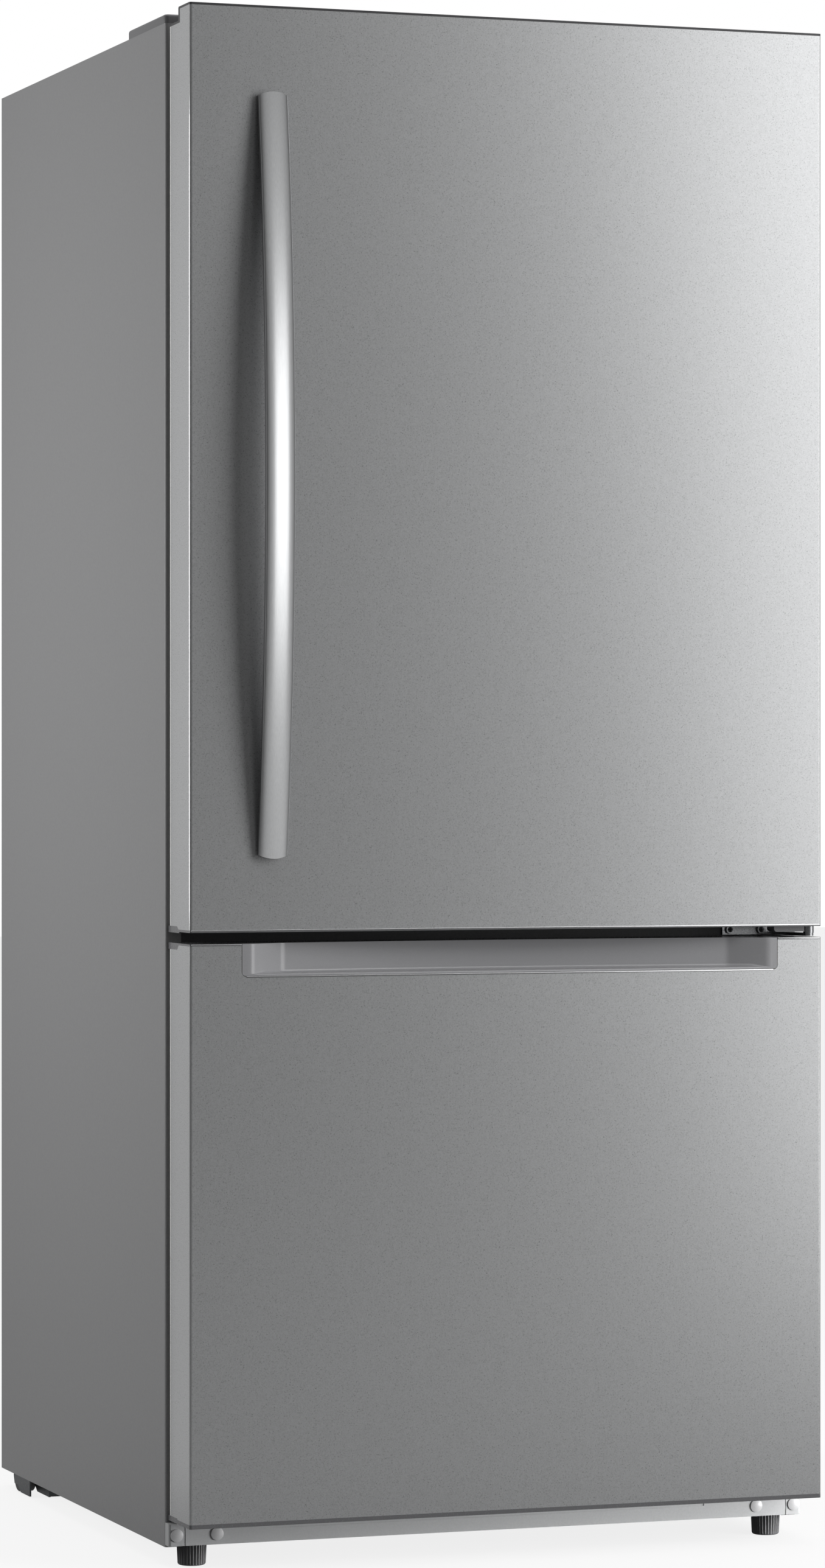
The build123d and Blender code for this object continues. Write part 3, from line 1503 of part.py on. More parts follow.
with BuildPart() as drawer_foam:
    door_plan((drawer_bottom, drawer_top - cap_wall), skin, sheet_back)
    inner_panel(door_liner_wall, sheet_back)
    grip_body(Mode.SUBTRACT)
    drawer_ears(Mode.SUBTRACT)
save(drawer_foam.part, "drawer_foam")

with BuildPart() as drawer_liner:
    block(full_front, (sheet_back, door_thickness), (drawer_bottom, drawer_skin_top))
    inner_panel(0, sheet_back)
    inner_panel(door_liner_wall, sheet_back, Mode.SUBTRACT)
    drawer_ears(Mode.SUBTRACT)
save(drawer_liner.part, "drawer_liner")

gasket(drawer_bottom + gasket_inset, drawer_top - gasket_inset, "drawer_gasket")
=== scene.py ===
# bottom freezer refrigerator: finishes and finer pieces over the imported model, and a studio around it
import json
import math

import bpy
import numpy as np
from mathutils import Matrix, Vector


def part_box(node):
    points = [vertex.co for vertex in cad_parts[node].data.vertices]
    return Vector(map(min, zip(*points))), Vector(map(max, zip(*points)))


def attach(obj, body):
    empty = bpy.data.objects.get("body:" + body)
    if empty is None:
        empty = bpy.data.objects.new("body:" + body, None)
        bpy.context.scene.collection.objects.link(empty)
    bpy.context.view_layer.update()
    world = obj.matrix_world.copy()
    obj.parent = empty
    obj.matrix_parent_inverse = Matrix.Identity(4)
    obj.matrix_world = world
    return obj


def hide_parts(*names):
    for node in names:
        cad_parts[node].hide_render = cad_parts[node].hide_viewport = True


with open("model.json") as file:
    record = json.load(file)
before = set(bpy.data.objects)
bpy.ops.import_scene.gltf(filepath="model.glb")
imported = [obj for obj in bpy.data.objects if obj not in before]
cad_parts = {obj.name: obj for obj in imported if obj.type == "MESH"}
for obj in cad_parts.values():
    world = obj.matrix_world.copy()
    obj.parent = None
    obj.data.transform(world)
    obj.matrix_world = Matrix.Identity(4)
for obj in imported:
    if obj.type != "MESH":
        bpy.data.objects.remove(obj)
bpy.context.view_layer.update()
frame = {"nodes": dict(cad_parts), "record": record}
record = frame["record"]
nodes = frame["nodes"]
mm = 0.001  # the object's sizes are in millimetres below, and in metres in Blender
print("stage: frame loaded,", len(nodes), "nodes")


def boxOf(node):
    # a node's lowest and highest corners in millimetres
    return np.array(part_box(node)) / mm


def linear(text):
    # an sRGB hex colour as the linear numbers that a shader takes: straight at the dark end, then a power
    level = np.array([int(text[i:i + 2], 16) for i in (0, 2, 4)]) / 255
    level = np.where(level <= 0.04045, level / 12.92, ((level + 0.055) / 1.055) ** 2.4)
    return (*level.tolist(), 1.0)


def perMetre(size):
    # texture scale for features of that many millimetres
    return 1 / mm / size


def addNode(tree, kind, inputs=None, stops=None, **settings):
    # one node with its settings; an input is a value or another node's output, and stops are a ramp's
    node = tree.nodes.new("ShaderNode" + kind)
    for name, value in settings.items():
        setattr(node, name, value)
    for name, value in (inputs or {}).items():
        if isinstance(value, bpy.types.NodeSocket):
            tree.links.new(value, node.inputs[name])
        else:
            node.inputs[name].default_value = value
    if stops:
        ramp = node.color_ramp
        while len(ramp.elements) < len(stops):
            ramp.elements.new(0.5)
        for element, (position, colour) in zip(ramp.elements, stops):
            element.position, element.color = position, linear(colour)
    return node


def startFinish(name, colour, roughness, inputs):
    # a material, its tree, its shader and the object's own coordinates in metres
    material = bpy.data.materials.new(name)
    material.use_nodes = True
    tree = material.node_tree
    tree.nodes.clear()
    inputs = {"Base Color": linear(colour), "Roughness": roughness, **inputs}
    shader = addNode(tree, "BsdfPrincipled", inputs)
    addNode(tree, "OutputMaterial", {"Surface": shader.outputs[0]})
    place = addNode(tree, "TexCoord").outputs["Object"]
    return material, tree, shader, place


def vary(tree, shader, factor, colours, roughness=None):
    # colour, by stops of position and colour, and a range of roughness that follow a pattern
    ramp = addNode(tree, "ValToRGB", {"Fac": factor}, stops=colours)
    tree.links.new(ramp.outputs["Color"], shader.inputs["Base Color"])
    if roughness:
        spread = addNode(tree, "MapRange", {"Value": factor, "To Min": roughness[0], "To Max": roughness[1]})
        tree.links.new(spread.outputs["Result"], shader.inputs["Roughness"])


def relief(tree, shader, height, depth, strength):
    # bump of that depth in millimetres
    bump = addNode(tree, "Bump", {"Height": height, "Distance": depth * mm, "Strength": strength})
    tree.links.new(bump.outputs["Normal"], shader.inputs["Normal"])


stainlessLook = {
    "dark": "b4b5b6", "light": "c9cacb",
    "smooth": 0.26, "rough": 0.30,
    "metal": 0.62,      # share of the steel's own shine that the coat lets through
    "grain": 1.25, "depth": 0.02,
    "fold": 3.0,        # width of the bright folds
    "foldFull": 1.8,    # part of it that is fully bright
    "foldSheen": 0.10,  # and its roughness
}


def stainlessFinish(name, look):
    # cold rolled stainless steel, shot rolled to an even grain: a soft broad shine with a fine speckle, under
    # a clear coat against finger marks that scatters some of it; the folds at its sides are rubbed bright.
    # The real grain of about 0.3 mm is too fine for the picture, so it is drawn four times as coarse
    inputs = {"Metallic": look["metal"]}
    material, tree, shader, place = startFinish(name, look["light"], look["rough"], inputs)
    grain = addNode(tree, "TexNoise", {"Vector": place, "Scale": perMetre(look["grain"]), "Detail": 3.0,
                                       "Roughness": 0.7}).outputs["Fac"]
    vary(tree, shader, grain, [(0.36, look["dark"]), (0.64, look["light"])])
    relief(tree, shader, grain, look["depth"], strength=0.25)
    rough = addNode(tree, "MapRange", {"Value": grain, "To Min": look["smooth"], "To Max": look["rough"]})
    across = addNode(tree, "SeparateXYZ", {"Vector": place})
    aside = addNode(tree, "Math", {0: across.outputs["X"]}, operation="ABSOLUTE")
    low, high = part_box("drawer_skin")
    inner, outer = look["fold"] * mm, look["foldFull"] * mm
    nearSide = addNode(tree, "MapRange", {"Value": aside.outputs[0], "From Min": high[0] - inner,
                                          "From Max": high[0] - outer})
    nearFront = addNode(tree, "MapRange", {"Value": across.outputs["Y"], "From Min": low[1] + inner,
                                           "From Max": low[1] + outer})
    folded = addNode(tree, "Math", {0: nearSide.outputs["Result"], 1: nearFront.outputs["Result"]},
                     operation="MULTIPLY")
    sheen = addNode(tree, "MapRange", {"Value": folded.outputs[0], "To Min": rough.outputs["Result"],
                                       "To Max": look["foldSheen"]})
    tree.links.new(sheen.outputs["Result"], shader.inputs["Roughness"])
    return material


drawnLook = {
    "dark": "bcbdbe", "light": "c6c7c8",
    "smooth": 0.27, "rough": 0.31,
    "line": 0.5, "depth": 0.01,
    "stretch": (1, 1, 0.006),  # lines run along the bar
}
evenLook = {**drawnLook, "stretch": (1, 1, 1)}
polishedLook = {**evenLook, "smooth": 0.16, "rough": 0.20}
copperLook = {**evenLook, "dark": "9c5b3c", "light": "c17a55"}


def drawnFinish(name, look):
    # drawn or rolled bare metal: fine lines spread a highlight out across themselves, and where they have no
    # direction an even grain softens it. Both are really about 0.1 mm wide, and drawn coarser to show
    material, tree, shader, place = startFinish(name, look["light"], look["rough"], {"Metallic": 1.0})
    stretched = addNode(tree, "Mapping", {"Vector": place, "Scale": look["stretch"]})
    lines = addNode(tree, "TexNoise", {"Vector": stretched.outputs["Vector"],
                                       "Scale": perMetre(look["line"]), "Detail": 2.0}).outputs["Fac"]
    vary(tree, shader, lines, [(0.3, look["dark"]), (0.7, look["light"])], (look["smooth"], look["rough"]))
    relief(tree, shader, lines, look["depth"], strength=0.2)
    return material


def enamelFinish(name, colour, shade, roughness, peel=2.2, depth=0.03, spread=0.04):
    # stoved enamel on steel: satin, with an even fine orange peel that breaks up reflections
    material, tree, shader, place = startFinish(name, colour, roughness, {"IOR": 1.5})
    ripple = addNode(tree, "TexNoise", {"Vector": place, "Scale": perMetre(peel), "Detail": 2.0})
    vary(tree, shader, ripple.outputs["Fac"], [(0.3, shade), (0.7, colour)],
         (roughness - spread, roughness + spread))
    relief(tree, shader, ripple.outputs["Fac"], depth, strength=0.4)
    return material


def zincFinish(name, dark, light, spangle, smooth, rough):
    # zinc on steel: crystals of the coating turn the light each their own way
    material, tree, shader, place = startFinish(name, light, rough, {"Metallic": 1.0})
    crystals = addNode(tree, "TexVoronoi", {"Vector": place, "Scale": perMetre(spangle)})
    tone = addNode(tree, "SeparateColor", {"Color": crystals.outputs["Color"]})
    vary(tree, shader, tone.outputs["Red"], [(0.0, dark), (1.0, light)], (smooth, rough))
    return material


def mouldedFinish(name, colour, shade, roughness, grain=1.2, depth=0.02, spread=0.05):
    # injection moulded plastic or rubber: the spark texture of the mould takes the hardness off its gloss.
    # It is really about 0.2 mm, and drawn coarser to show
    material, tree, shader, place = startFinish(name, colour, roughness, {"IOR": 1.53})
    spark = addNode(tree, "TexNoise", {"Vector": place, "Scale": perMetre(grain), "Detail": 2.0})
    vary(tree, shader, spark.outputs["Fac"], [(0.25, shade), (0.75, colour)],
         (roughness - spread, roughness + spread))
    relief(tree, shader, spark.outputs["Fac"], depth, strength=0.35)
    return material


def foamFinish(name, colour, shade, cell=3.0, depth=0.3):
    # sprayed polyurethane foam: closed cells under a waxy skin
    material, tree, shader, place = startFinish(name, colour, 0.8, {"IOR": 1.45})
    cells = addNode(tree, "TexVoronoi", {"Vector": place, "Scale": perMetre(cell)}).outputs["Distance"]
    vary(tree, shader, cells, [(0.1, shade), (0.7, colour)], (0.7, 0.9))
    relief(tree, shader, cells, depth, strength=0.6)
    return material


def clearFinish(name, colour, roughness, ior, ripple=40, depth=0.05):
    # clear moulded polystyrene or float glass: the light goes through, and a slow ripple bends it a little
    inputs = {"IOR": ior, "Transmission Weight": 1.0}
    material, tree, shader, place = startFinish(name, colour, roughness, inputs)
    wave = addNode(tree, "TexNoise", {"Vector": place, "Scale": perMetre(ripple), "Detail": 1.0})
    relief(tree, shader, wave.outputs["Fac"], depth, strength=0.15)
    return material


finishes = {
    "cabinet_paint": enamelFinish("satin_grey_enamel", "8d8d8e", "868687", 0.48),
    "dark_paint": enamelFinish("dark_grey_enamel", "3c3c3e", "343436", 0.42),
    "silver_paint": enamelFinish("silver_grey_enamel", "b6b7b8", "b0b1b2", 0.36),
    "rear_paint": enamelFinish("mid_grey_epoxy_enamel", "939496", "8d8e90", 0.5),
    "iron": enamelFinish("black_stoved_enamel", "1f1f21", "19191b", 0.35),
    "galvanised": zincFinish("galvanised_sheet", "a0a2a4", "acaeb0", 5.0, 0.42, 0.50),
    "zinc": zincFinish("bright_zinc_plate", "a6a7a9", "b6b7b9", 0.8, 0.26, 0.33),
    "dark_zinc": zincFinish("black_zinc_plate", "4e5052", "606264", 2.0, 0.35, 0.5),
    "stainless": stainlessFinish("fine_grained_stainless_steel", stainlessLook),
    "handle_steel": drawnFinish("satin_drawn_steel", drawnLook),
    "polished_steel": drawnFinish("polished_steel_edge", polishedLook),
    "aluminium": drawnFinish("mill_finish_aluminium", evenLook),
    "copper": drawnFinish("drawn_copper_tube", copperLook),
    "grey_plastic": mouldedFinish("grey_moulded_abs", "7e7e80", "757577", 0.42),
    "dark_plastic": mouldedFinish("charcoal_moulded_abs", "3b3b3d", "333335", 0.45),
    "light_plastic": mouldedFinish("light_grey_moulded_abs", "a4a4a6", "9d9d9f", 0.32),
    "grip_plastic": mouldedFinish("satin_grey_grip_abs", "8a8a8c", "868688", 0.20),
    "cover_plastic": mouldedFinish("dark_grey_moulded_abs", "6b6b6d", "646466", 0.40),
    "cap_plastic": mouldedFinish("mid_grey_moulded_abs", "6f6f71", "69696b", 0.26),
    "light_caps": mouldedFinish("pale_grey_moulded_polypropylene", "c4c4c5", "bdbdbe", 0.38),
    "foot_plastic": mouldedFinish("dark_grey_foot_polypropylene", "59595b", "525254", 0.42),
    "black_plastic": mouldedFinish("black_moulded_polypropylene", "28282a", "202022", 0.5),
    "white_plastic": mouldedFinish("white_moulded_polystyrene", "ececea", "e8e8e6", 0.26, 1.5, 0.01),
    "opal_plastic": mouldedFinish("opal_lamp_cover", "f2f2ee", "ecece8", 0.35),
    "black_rubber": mouldedFinish("black_moulded_rubber", "222223", "1a1a1b", 0.7),
    "gasket_rubber": mouldedFinish("soft_grey_vinyl", "6c6c6e", "646466", 0.55),
    "clear_plastic": clearFinish("clear_moulded_polystyrene", "f3f6f7", 0.05, 1.59),
    "glass": clearFinish("toughened_shelf_glass", "dff0ea", 0.0, 1.52),
    "foam": foamFinish("polyurethane_foam", "dcc989", "c3ad6b"),
}

# nodes whose finish differs from the one that their material slot names
ownFinishes = {
    "kick_plate": "silver_paint", "kick_corners": "silver_paint", "kick_screw_caps": "light_caps",
    "fridge_door_bottom_cap": "cap_plastic", "drawer_caps": "cap_plastic",
    "front_foot_left": "foot_plastic", "front_foot_right": "foot_plastic",
    "rear_roller_brackets": "dark_zinc", "machine_cover": "rear_paint",
}

for part in record["subparts"]:
    chosen = ownFinishes.get(part["node"], part["material_slot"])
    for cadSlot in nodes[part["node"]].material_slots:
        cadSlot.material = finishes[chosen]
print("stage: finishes on the CAD nodes")


def outward(points, faces):
    # turns all faces over if six times the volume that they hold, summed over triangles, is negative
    held = 0.0
    for part in faces:
        corner = points[part]
        for k in range(1, part.shape[1] - 1):
            held += np.einsum("ij,ij->", corner[:, 0], np.cross(corner[:, k], corner[:, k + 1]))
    return points, [part[:, ::-1] if held < 0 else part for part in faces]


def closedShape(rings, around=False, strip=False):
    # rings of points, (rings, points, 3): quads join each ring to the next, and the ends are closed by
    # one face each, by strips across each end, or, around, by joining the last ring to the first
    count, size = rings.shape[:2]
    first = np.arange(count if around else count - 1)[:, None]
    place = np.arange(size)[None, :]
    after, beside = (first + 1) % count, (place + 1) % size
    faces = [np.stack(np.broadcast_arrays(first * size + place, first * size + beside,
                                          after * size + beside, after * size + place), -1).reshape(-1, 4)]
    if strip:
        half = np.arange(size // 2 - 1)
        across = np.stack([half, size - 1 - half, size - 2 - half, half + 1], -1)
        faces += [across, across[:, ::-1] + (count - 1) * size]
    elif not around:
        faces += [np.arange(size)[None, ::-1], np.arange(size)[None, :] + (count - 1) * size]
    return outward(rings.reshape(-1, 3), faces)


def joined(shapes):
    # several shapes as one
    points, faces, start = [], [], 0
    for shapePoints, shapeFaces in shapes:
        points.append(shapePoints)
        faces += [part + start for part in shapeFaces]
        start += len(shapePoints)
    return np.concatenate(points), faces


creaseAngle = 32  # degrees between two faces, past which their edge stays sharp


def addPiece(name, shape, finish, body, replaced=()):
    # a mesh object that rides on a body and may replace CAD nodes
    points, faces = shape
    mesh = bpy.data.meshes.new(name)
    mesh.vertices.add(len(points))
    mesh.vertices.foreach_set("co", points.astype(np.float32).ravel())
    corners = np.concatenate([part.ravel() for part in faces])
    sizes = np.concatenate([np.full(len(part), part.shape[1]) for part in faces])
    mesh.loops.add(len(corners))
    mesh.loops.foreach_set("vertex_index", corners.astype(np.int32))
    mesh.polygons.add(len(sizes))
    mesh.polygons.foreach_set("loop_start", (np.cumsum(sizes) - sizes).astype(np.int32))
    mesh.update(calc_edges=True)
    mesh.polygons.foreach_set("use_smooth", np.ones(len(sizes), dtype=bool))
    mesh.set_sharp_from_angle(angle=math.radians(creaseAngle))
    mesh.materials.append(finishes[finish])
    piece = bpy.data.objects.new(name, mesh)
    bpy.context.scene.collection.objects.link(piece)
    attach(piece, body)
    if replaced:
        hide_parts(*replaced)


# directions in which a flat plan is laid: across it, up it and out of it
facingFront = np.array([(1, 0, 0), (0, 0, 1), (0, -1, 0)], dtype=float)
facingBack = np.array([(-1, 0, 0), (0, 0, 1), (0, 1, 0)], dtype=float)
facingUp = np.array([(1, 0, 0), (0, 1, 0), (0, 0, 1)], dtype=float)
facingDown = np.array([(1, 0, 0), (0, -1, 0), (0, 0, -1)], dtype=float)


def laid(plan, origin, facing):
    # points of a plan set at a place, from millimetres to metres
    return (np.asarray(origin) + plan @ facing) * mm


leastRadius = 0.2  # of a corner that an inset has used up


def roundedOutline(halfAcross, halfUp, radius, steps):
    # rounded rectangle: each corner is a quarter circle about a centre drawn in by the radius
    turn = np.linspace(0, np.pi / 2, steps)
    quarter = (np.arange(4)[:, None] * np.pi / 2 + turn).ravel()
    signs = np.repeat(np.array([(1, 1), (-1, 1), (-1, -1), (1, -1)], dtype=float), steps, axis=0)
    centre = signs * (halfAcross - radius, halfUp - radius)
    return centre + radius * np.stack([np.cos(quarter), np.sin(quarter)], -1)


def layered(halfAcross, halfUp, radius, levels, steps=8):
    # outlines stacked in levels of (inset, height), as (levels, points, 3)
    rings = []
    for inset, height in levels:
        ring = roundedOutline(halfAcross - inset, halfUp - inset, max(radius - inset, leastRadius), steps)
        rings.append(np.column_stack([ring, np.full(len(ring), float(height))]))
    return np.array(rings)


def pillow(height, edge, foot, steps=5):
    # levels of a plate from its foot up to an upper edge that is rounded by a quarter circle
    turn = np.linspace(0, np.pi / 2, steps)
    return [(0, foot)] + [(edge * (1 - math.cos(a)), height - edge * (1 - math.sin(a))) for a in turn]


def plate(origin, facing, halfAcross, halfUp, radius, height, edge, foot=0.0):
    # rounded rectangle carried outwards along those levels
    return closedShape(laid(layered(halfAcross, halfUp, radius, pillow(height, edge, foot)), origin, facing))


def turned(origin, facing, profile, count=48):
    # profile of (radius, height) carried round a circle
    turn = np.arange(count) / count * 2 * np.pi
    radius, height = np.array(profile, dtype=float).T
    rings = np.stack([radius[:, None] * np.cos(turn), radius[:, None] * np.sin(turn),
                      np.broadcast_to(height[:, None], (len(radius), count))], -1)
    return closedShape(laid(rings, origin, facing))


def hoop(origin, facing, radius, thick, count=64, steps=10):
    # ring of round wire: a small circle carried round a large one
    turn = np.arange(count)[:, None] / count * 2 * np.pi
    small = np.arange(steps)[None, :] / steps * 2 * np.pi
    out = radius + thick * np.cos(small)
    rings = np.stack([out * np.cos(turn), out * np.sin(turn),
                      np.broadcast_to(thick * np.sin(small), (count, steps))], -1)
    return closedShape(laid(rings, origin, facing), around=True)


handleLook = {
    "bow": 28,          # rise of the middle over the ends
    "side": 6,          # height of the bar's sides
    "crown": 10,        # and of its middle
    "fall": 4,          # fall of the crown to its sides, which rounds the ends as well
    "edge": 1.0,
    "split": 4.8,       # height at which the face meets the core
    "tuck": 0.4,        # how far the core lies inside the face's outline
    "boss": 6, "bossFromEnd": 26, "bossSides": 32,
    "across": 33, "along": 97,  # points of the section and sections of the bar
}


def handleShell(look, middle, half, halfAcross, inner, outer, tuck):
    # the bar's section carried along an arc: at an angle a from the middle, a point that stands h proud of
    # the inner face lies at (radius + h) sin a along the bar and (radius + h) cos a in front of the centre
    arcRadius = (half**2 + look["bow"]**2) / (2 * look["bow"])
    crownRadius = (halfAcross**2 + look["fall"]**2) / (2 * look["fall"])
    across = halfAcross - tuck
    side = across * np.sin(np.linspace(-1, 1, look["across"]) * np.pi / 2)
    fall = crownRadius - np.sqrt(crownRadius**2 - side**2)
    front = np.minimum(look["crown"] - fall, outer)
    if outer > look["side"]:
        edge = look["edge"]
        over = np.clip(np.abs(side) - (across - edge), 0, edge)
        front = front - (edge - np.sqrt(edge**2 - over**2))
    back = np.full(len(side), inner)
    section = np.concatenate([np.column_stack([side, front]), np.column_stack([side[::-1], back])])
    out = arcRadius + section[:, 1]
    reach = np.arcsin((half - tuck - np.concatenate([fall, fall[::-1]])) / out)
    angle = np.linspace(-1, 1, look["along"])[:, None] * reach[None, :]
    rings = np.stack([np.broadcast_to(section[:, 0], angle.shape), out * np.sin(angle),
                      out * np.cos(angle) - (arcRadius - look["bow"])], -1)
    return closedShape(laid(rings, middle, facingFront), strip=True)


def addHandle(look):
    # a crowned face of satin metal on a dark core that stands on two bosses
    low, high = boxOf("handle_bar")
    middle = np.array(((low[0] + high[0]) / 2, high[1], (low[2] + high[2]) / 2))
    half, halfAcross = (high[2] - low[2]) / 2, (high[0] - low[0]) / 2
    face = handleShell(look, middle, half, halfAcross, look["split"], math.inf, 0)
    core = handleShell(look, middle, half, halfAcross, 0, look["split"], look["tuck"])
    profile = [(look["boss"], 0), (look["boss"], look["side"])]
    bosses = [turned(middle + (0, 0, side * (half - look["bossFromEnd"])), facingFront, profile,
                     look["bossSides"]) for side in (-1, 1)]
    addPiece("handle_face", face, "handle_steel", "fridge_door", ["handle_bar"])
    addPiece("handle_core", joined([core, *bosses]), "grey_plastic", "fridge_door",
             ["handle_bar"])


addHandle(handleLook)
print("stage: handle")

gripLook = {
    "flat": 12,         # length at each end that has no depth
    "crease": 53,       # distance from each end to where the flank meets the arc
    "creaseDepth": 21,
    "depth": 36,
    "floor": 3,
    "soft": 6,          # half of the running mean's length
    "fillet": 4, "lip": 1.4, "corner": 5,
    "gap": 0.6,         # how far the pocket stays inside the CAD piece, at its ends and below
    "sections": 700, "arcPoints": 7,
}


def addGrip(look):
    # pocket: along the drawer's edge its wall lies as deep as a straight flank and then a wide arc, and a
    # running mean softens the creases between them; a section of lip, floor, fillet and wall is carried
    # along it, with a smaller fillet and lip where the pocket is shallow
    low, high = boxOf("drawer_grip")
    x = np.linspace(low[0] + look["gap"], high[0] - look["gap"], look["sections"])
    aside, half = np.abs(x - (low[0] + high[0]) / 2), (high[0] - low[0]) / 2
    bend = half - look["crease"]
    sag = look["depth"] - look["creaseDepth"]
    arcRadius = (bend**2 + sag**2) / (2 * sag)
    flank = np.interp(aside, [bend, half - look["flat"]], [look["creaseDepth"], 0])
    arc = look["depth"] - arcRadius + np.sqrt(arcRadius**2 - np.minimum(aside, bend)**2)
    wall = np.where(aside < bend, arc, flank)
    window = np.hanning(int(2 * look["soft"] / (x[1] - x[0])) | 1)
    wall = np.convolve(np.pad(wall, len(window) // 2, mode="edge"), window / window.sum(), mode="valid")
    toEnd = np.clip(look["corner"] - (half - aside), 0, look["corner"])
    foot = (low[2] + look["gap"] + look["corner"] - np.sqrt(look["corner"]**2 - toEnd**2))[:, None]
    wall = wall[:, None]
    even = np.ones_like(wall)
    fillet, lip = np.minimum(look["fillet"], wall / 2), np.minimum(look["lip"], wall / 3)
    floor, top, back = low[2] + look["floor"], high[2] * even, (high[1] - low[1]) * even
    turn = np.linspace(0, np.pi / 2, look["arcPoints"])[None, :]
    rise, fall = 1 - np.cos(turn), 1 - np.sin(turn)
    depth = np.hstack([0 * even, lip * rise, wall - fillet * fall, wall, back, back])
    height = np.hstack([foot, floor - lip * fall, floor + fillet * rise, top, top, foot])
    rings = np.stack([np.broadcast_to(x[:, None], depth.shape), low[1] + depth, height], -1) * mm
    addPiece("grip_pocket", closedShape(rings), "grip_plastic", "freezer_drawer",
             ["drawer_grip"])


addGrip(gripLook)

hemLook = {
    "half": 0.9,        # half of a hem's width
    "proud": 0.5, "sink": 0.3,
    "end": 1.5,         # left free at the skin's sides
    "below": 0.2,       # and under the drawer's top
    "gripEnd": 5, "gripBelow": 0.45,
}


def addHems(look):
    # polished hems of the steel skins: along the door's lower edge, the drawer's upper one and under the grip
    gripLow, gripHigh = boxOf("drawer_grip")
    skinLow, skinHigh = boxOf("drawer_skin")
    left, right = skinLow[0] + look["end"], skinHigh[0] - look["end"]
    under = boxOf("fridge_door_skin")[0][2] - look["half"]
    over = boxOf("drawer_caps")[1][2] - look["half"] - look["below"]
    runs = {"fridge_door": [(left, right, under)],
            "freezer_drawer": [(left, gripLow[0], over), (gripHigh[0], right, over),
                               (gripLow[0] + look["gripEnd"], gripHigh[0] - look["gripEnd"],
                                gripLow[2] - look["gripBelow"])]}
    for body, hems in runs.items():
        shapes = [plate(((start + end) / 2, skinLow[1] + look["sink"], height), facingFront,
                        (end - start) / 2, look["half"], look["half"], look["proud"] + look["sink"],
                        look["proud"]) for start, end, height in hems]
        addPiece(body + "_hems", joined(shapes), "polished_steel", body)


addHems(hemLook)

hingeScrewLook = {
    "fromLeft": (8.4, 46.7), "fromBottom": 5.8,  # places on the hinge's plate
    "head": 4.75, "rise": 2.4, "tip": 0.4,
    "proud": 0.2,
    "crown": ((1, 0), (1, 0.5), (0.88, 0.8), (0.6, 0.95)),  # shares of the head's radius and rise
    "cross": (2.6, 0.5), "crossRadius": 0.2, "crossProud": 0.12, "crossEdge": 0.05,
}


def addHingeScrews(look):
    # pan heads over the washers of the middle hinge, turned from a profile; thin dark plates stand for the
    # shadow in their cross recess
    plateLow = boxOf("middle_hinge")[0]
    front = boxOf("hinge_screws")[0][1]
    rise = look["rise"]
    profile = [(radius * look["head"], height * rise) for radius, height in look["crown"]]
    profile.append((look["tip"], rise))
    long, thin = look["cross"]
    heads, crosses = [], []
    for fromLeft in look["fromLeft"]:
        origin = (plateLow[0] + fromLeft, front + rise - look["proud"], plateLow[2] + look["fromBottom"])
        heads.append(turned(origin, facingFront, profile))
        crosses += [plate(origin, facingFront, across, up, look["crossRadius"], rise + look["crossProud"],
                          look["crossEdge"]) for across, up in ((long, thin), (thin, long))]
    addPiece("hinge_screw_heads", joined(heads), "dark_zinc", "cabinet")
    addPiece("hinge_screw_crosses", joined(crosses), "black_rubber", "cabinet")


addHingeScrews(hingeScrewLook)

hingeCoverLook = {"width": 104, "radius": 6, "edge": 3.5}


def addHingeCovers(look):
    # two plates with rounded upper edges at the cabinet's front corners
    low, high = boxOf("hinge_covers")
    shells = [plate((side * (high[0] - look["width"] / 2), (low[1] + high[1]) / 2, low[2]), facingUp,
                    look["width"] / 2, (high[1] - low[1]) / 2, look["radius"], high[2] - low[2], look["edge"])
              for side in (-1, 1)]
    addPiece("hinge_cover_shells", joined(shells), "cover_plastic", "cabinet",
             ["hinge_covers"])


addHingeCovers(hingeCoverLook)
print("stage: grip, hems, hinge screws and covers")

sealLook = {
    "corner": 12,
    # section of a magnetic seal: inset from its outer edge and height over the door's liner
    "section": [(2, 0), (0.2, 1.2), (0.2, 2.4), (2.4, 3.2), (0.8, 4.0), (0.8, 5.9), (2.0, 6.5), (19.8, 6.5),
                (21.0, 5.9), (21.2, 4.2), (19.4, 3.4), (21.8, 2.6), (21.8, 1.0), (20, 0)],
}


def addSeal(look, name, replaced, body):
    # the section carried round a rectangle with rounded corners
    low, high = boxOf(replaced)
    origin = (0, low[1], (low[2] + high[2]) / 2)
    rings = layered(high[0], (high[2] - low[2]) / 2, look["corner"], look["section"])
    addPiece(name, closedShape(laid(rings, origin, facingBack), around=True), "gasket_rubber", body,
             [replaced])


addSeal(sealLook, "fridge_door_seal", "fridge_door_gasket", "fridge_door")
addSeal(sealLook, "drawer_seal", "drawer_gasket", "freezer_drawer")

binLook = {"count": 4, "height": 92, "wall": 2.4, "radius": 12, "foot": 8, "cornerPoints": 10}


def tub(look, low, high):
    # open box with a rounded rim and foot: one outline in levels, up the outer wall and down the inner one; a
    # quarter circle's points lie 0.13 and 0.5 of its radius from the corner's two sides
    wall, foot, height = look["wall"], look["foot"], look["height"]
    near, far = foot * 0.13, foot * 0.5
    levels = [(foot, 0), (far, near), (near, far), (0, foot),
              (0, height - wall / 3), (wall / 3, height), (wall * 2 / 3, height), (wall, height - wall / 3),
              (wall, wall + foot), (wall + near, wall + far), (wall + far, wall + near), (wall + foot, wall)]
    origin = ((low[0] + high[0]) / 2, (low[1] + high[1]) / 2, low[2])
    return closedShape(laid(layered((high[0] - low[0]) / 2, (high[1] - low[1]) / 2, look["radius"], levels,
                                    look["cornerPoints"]), origin, facingUp))


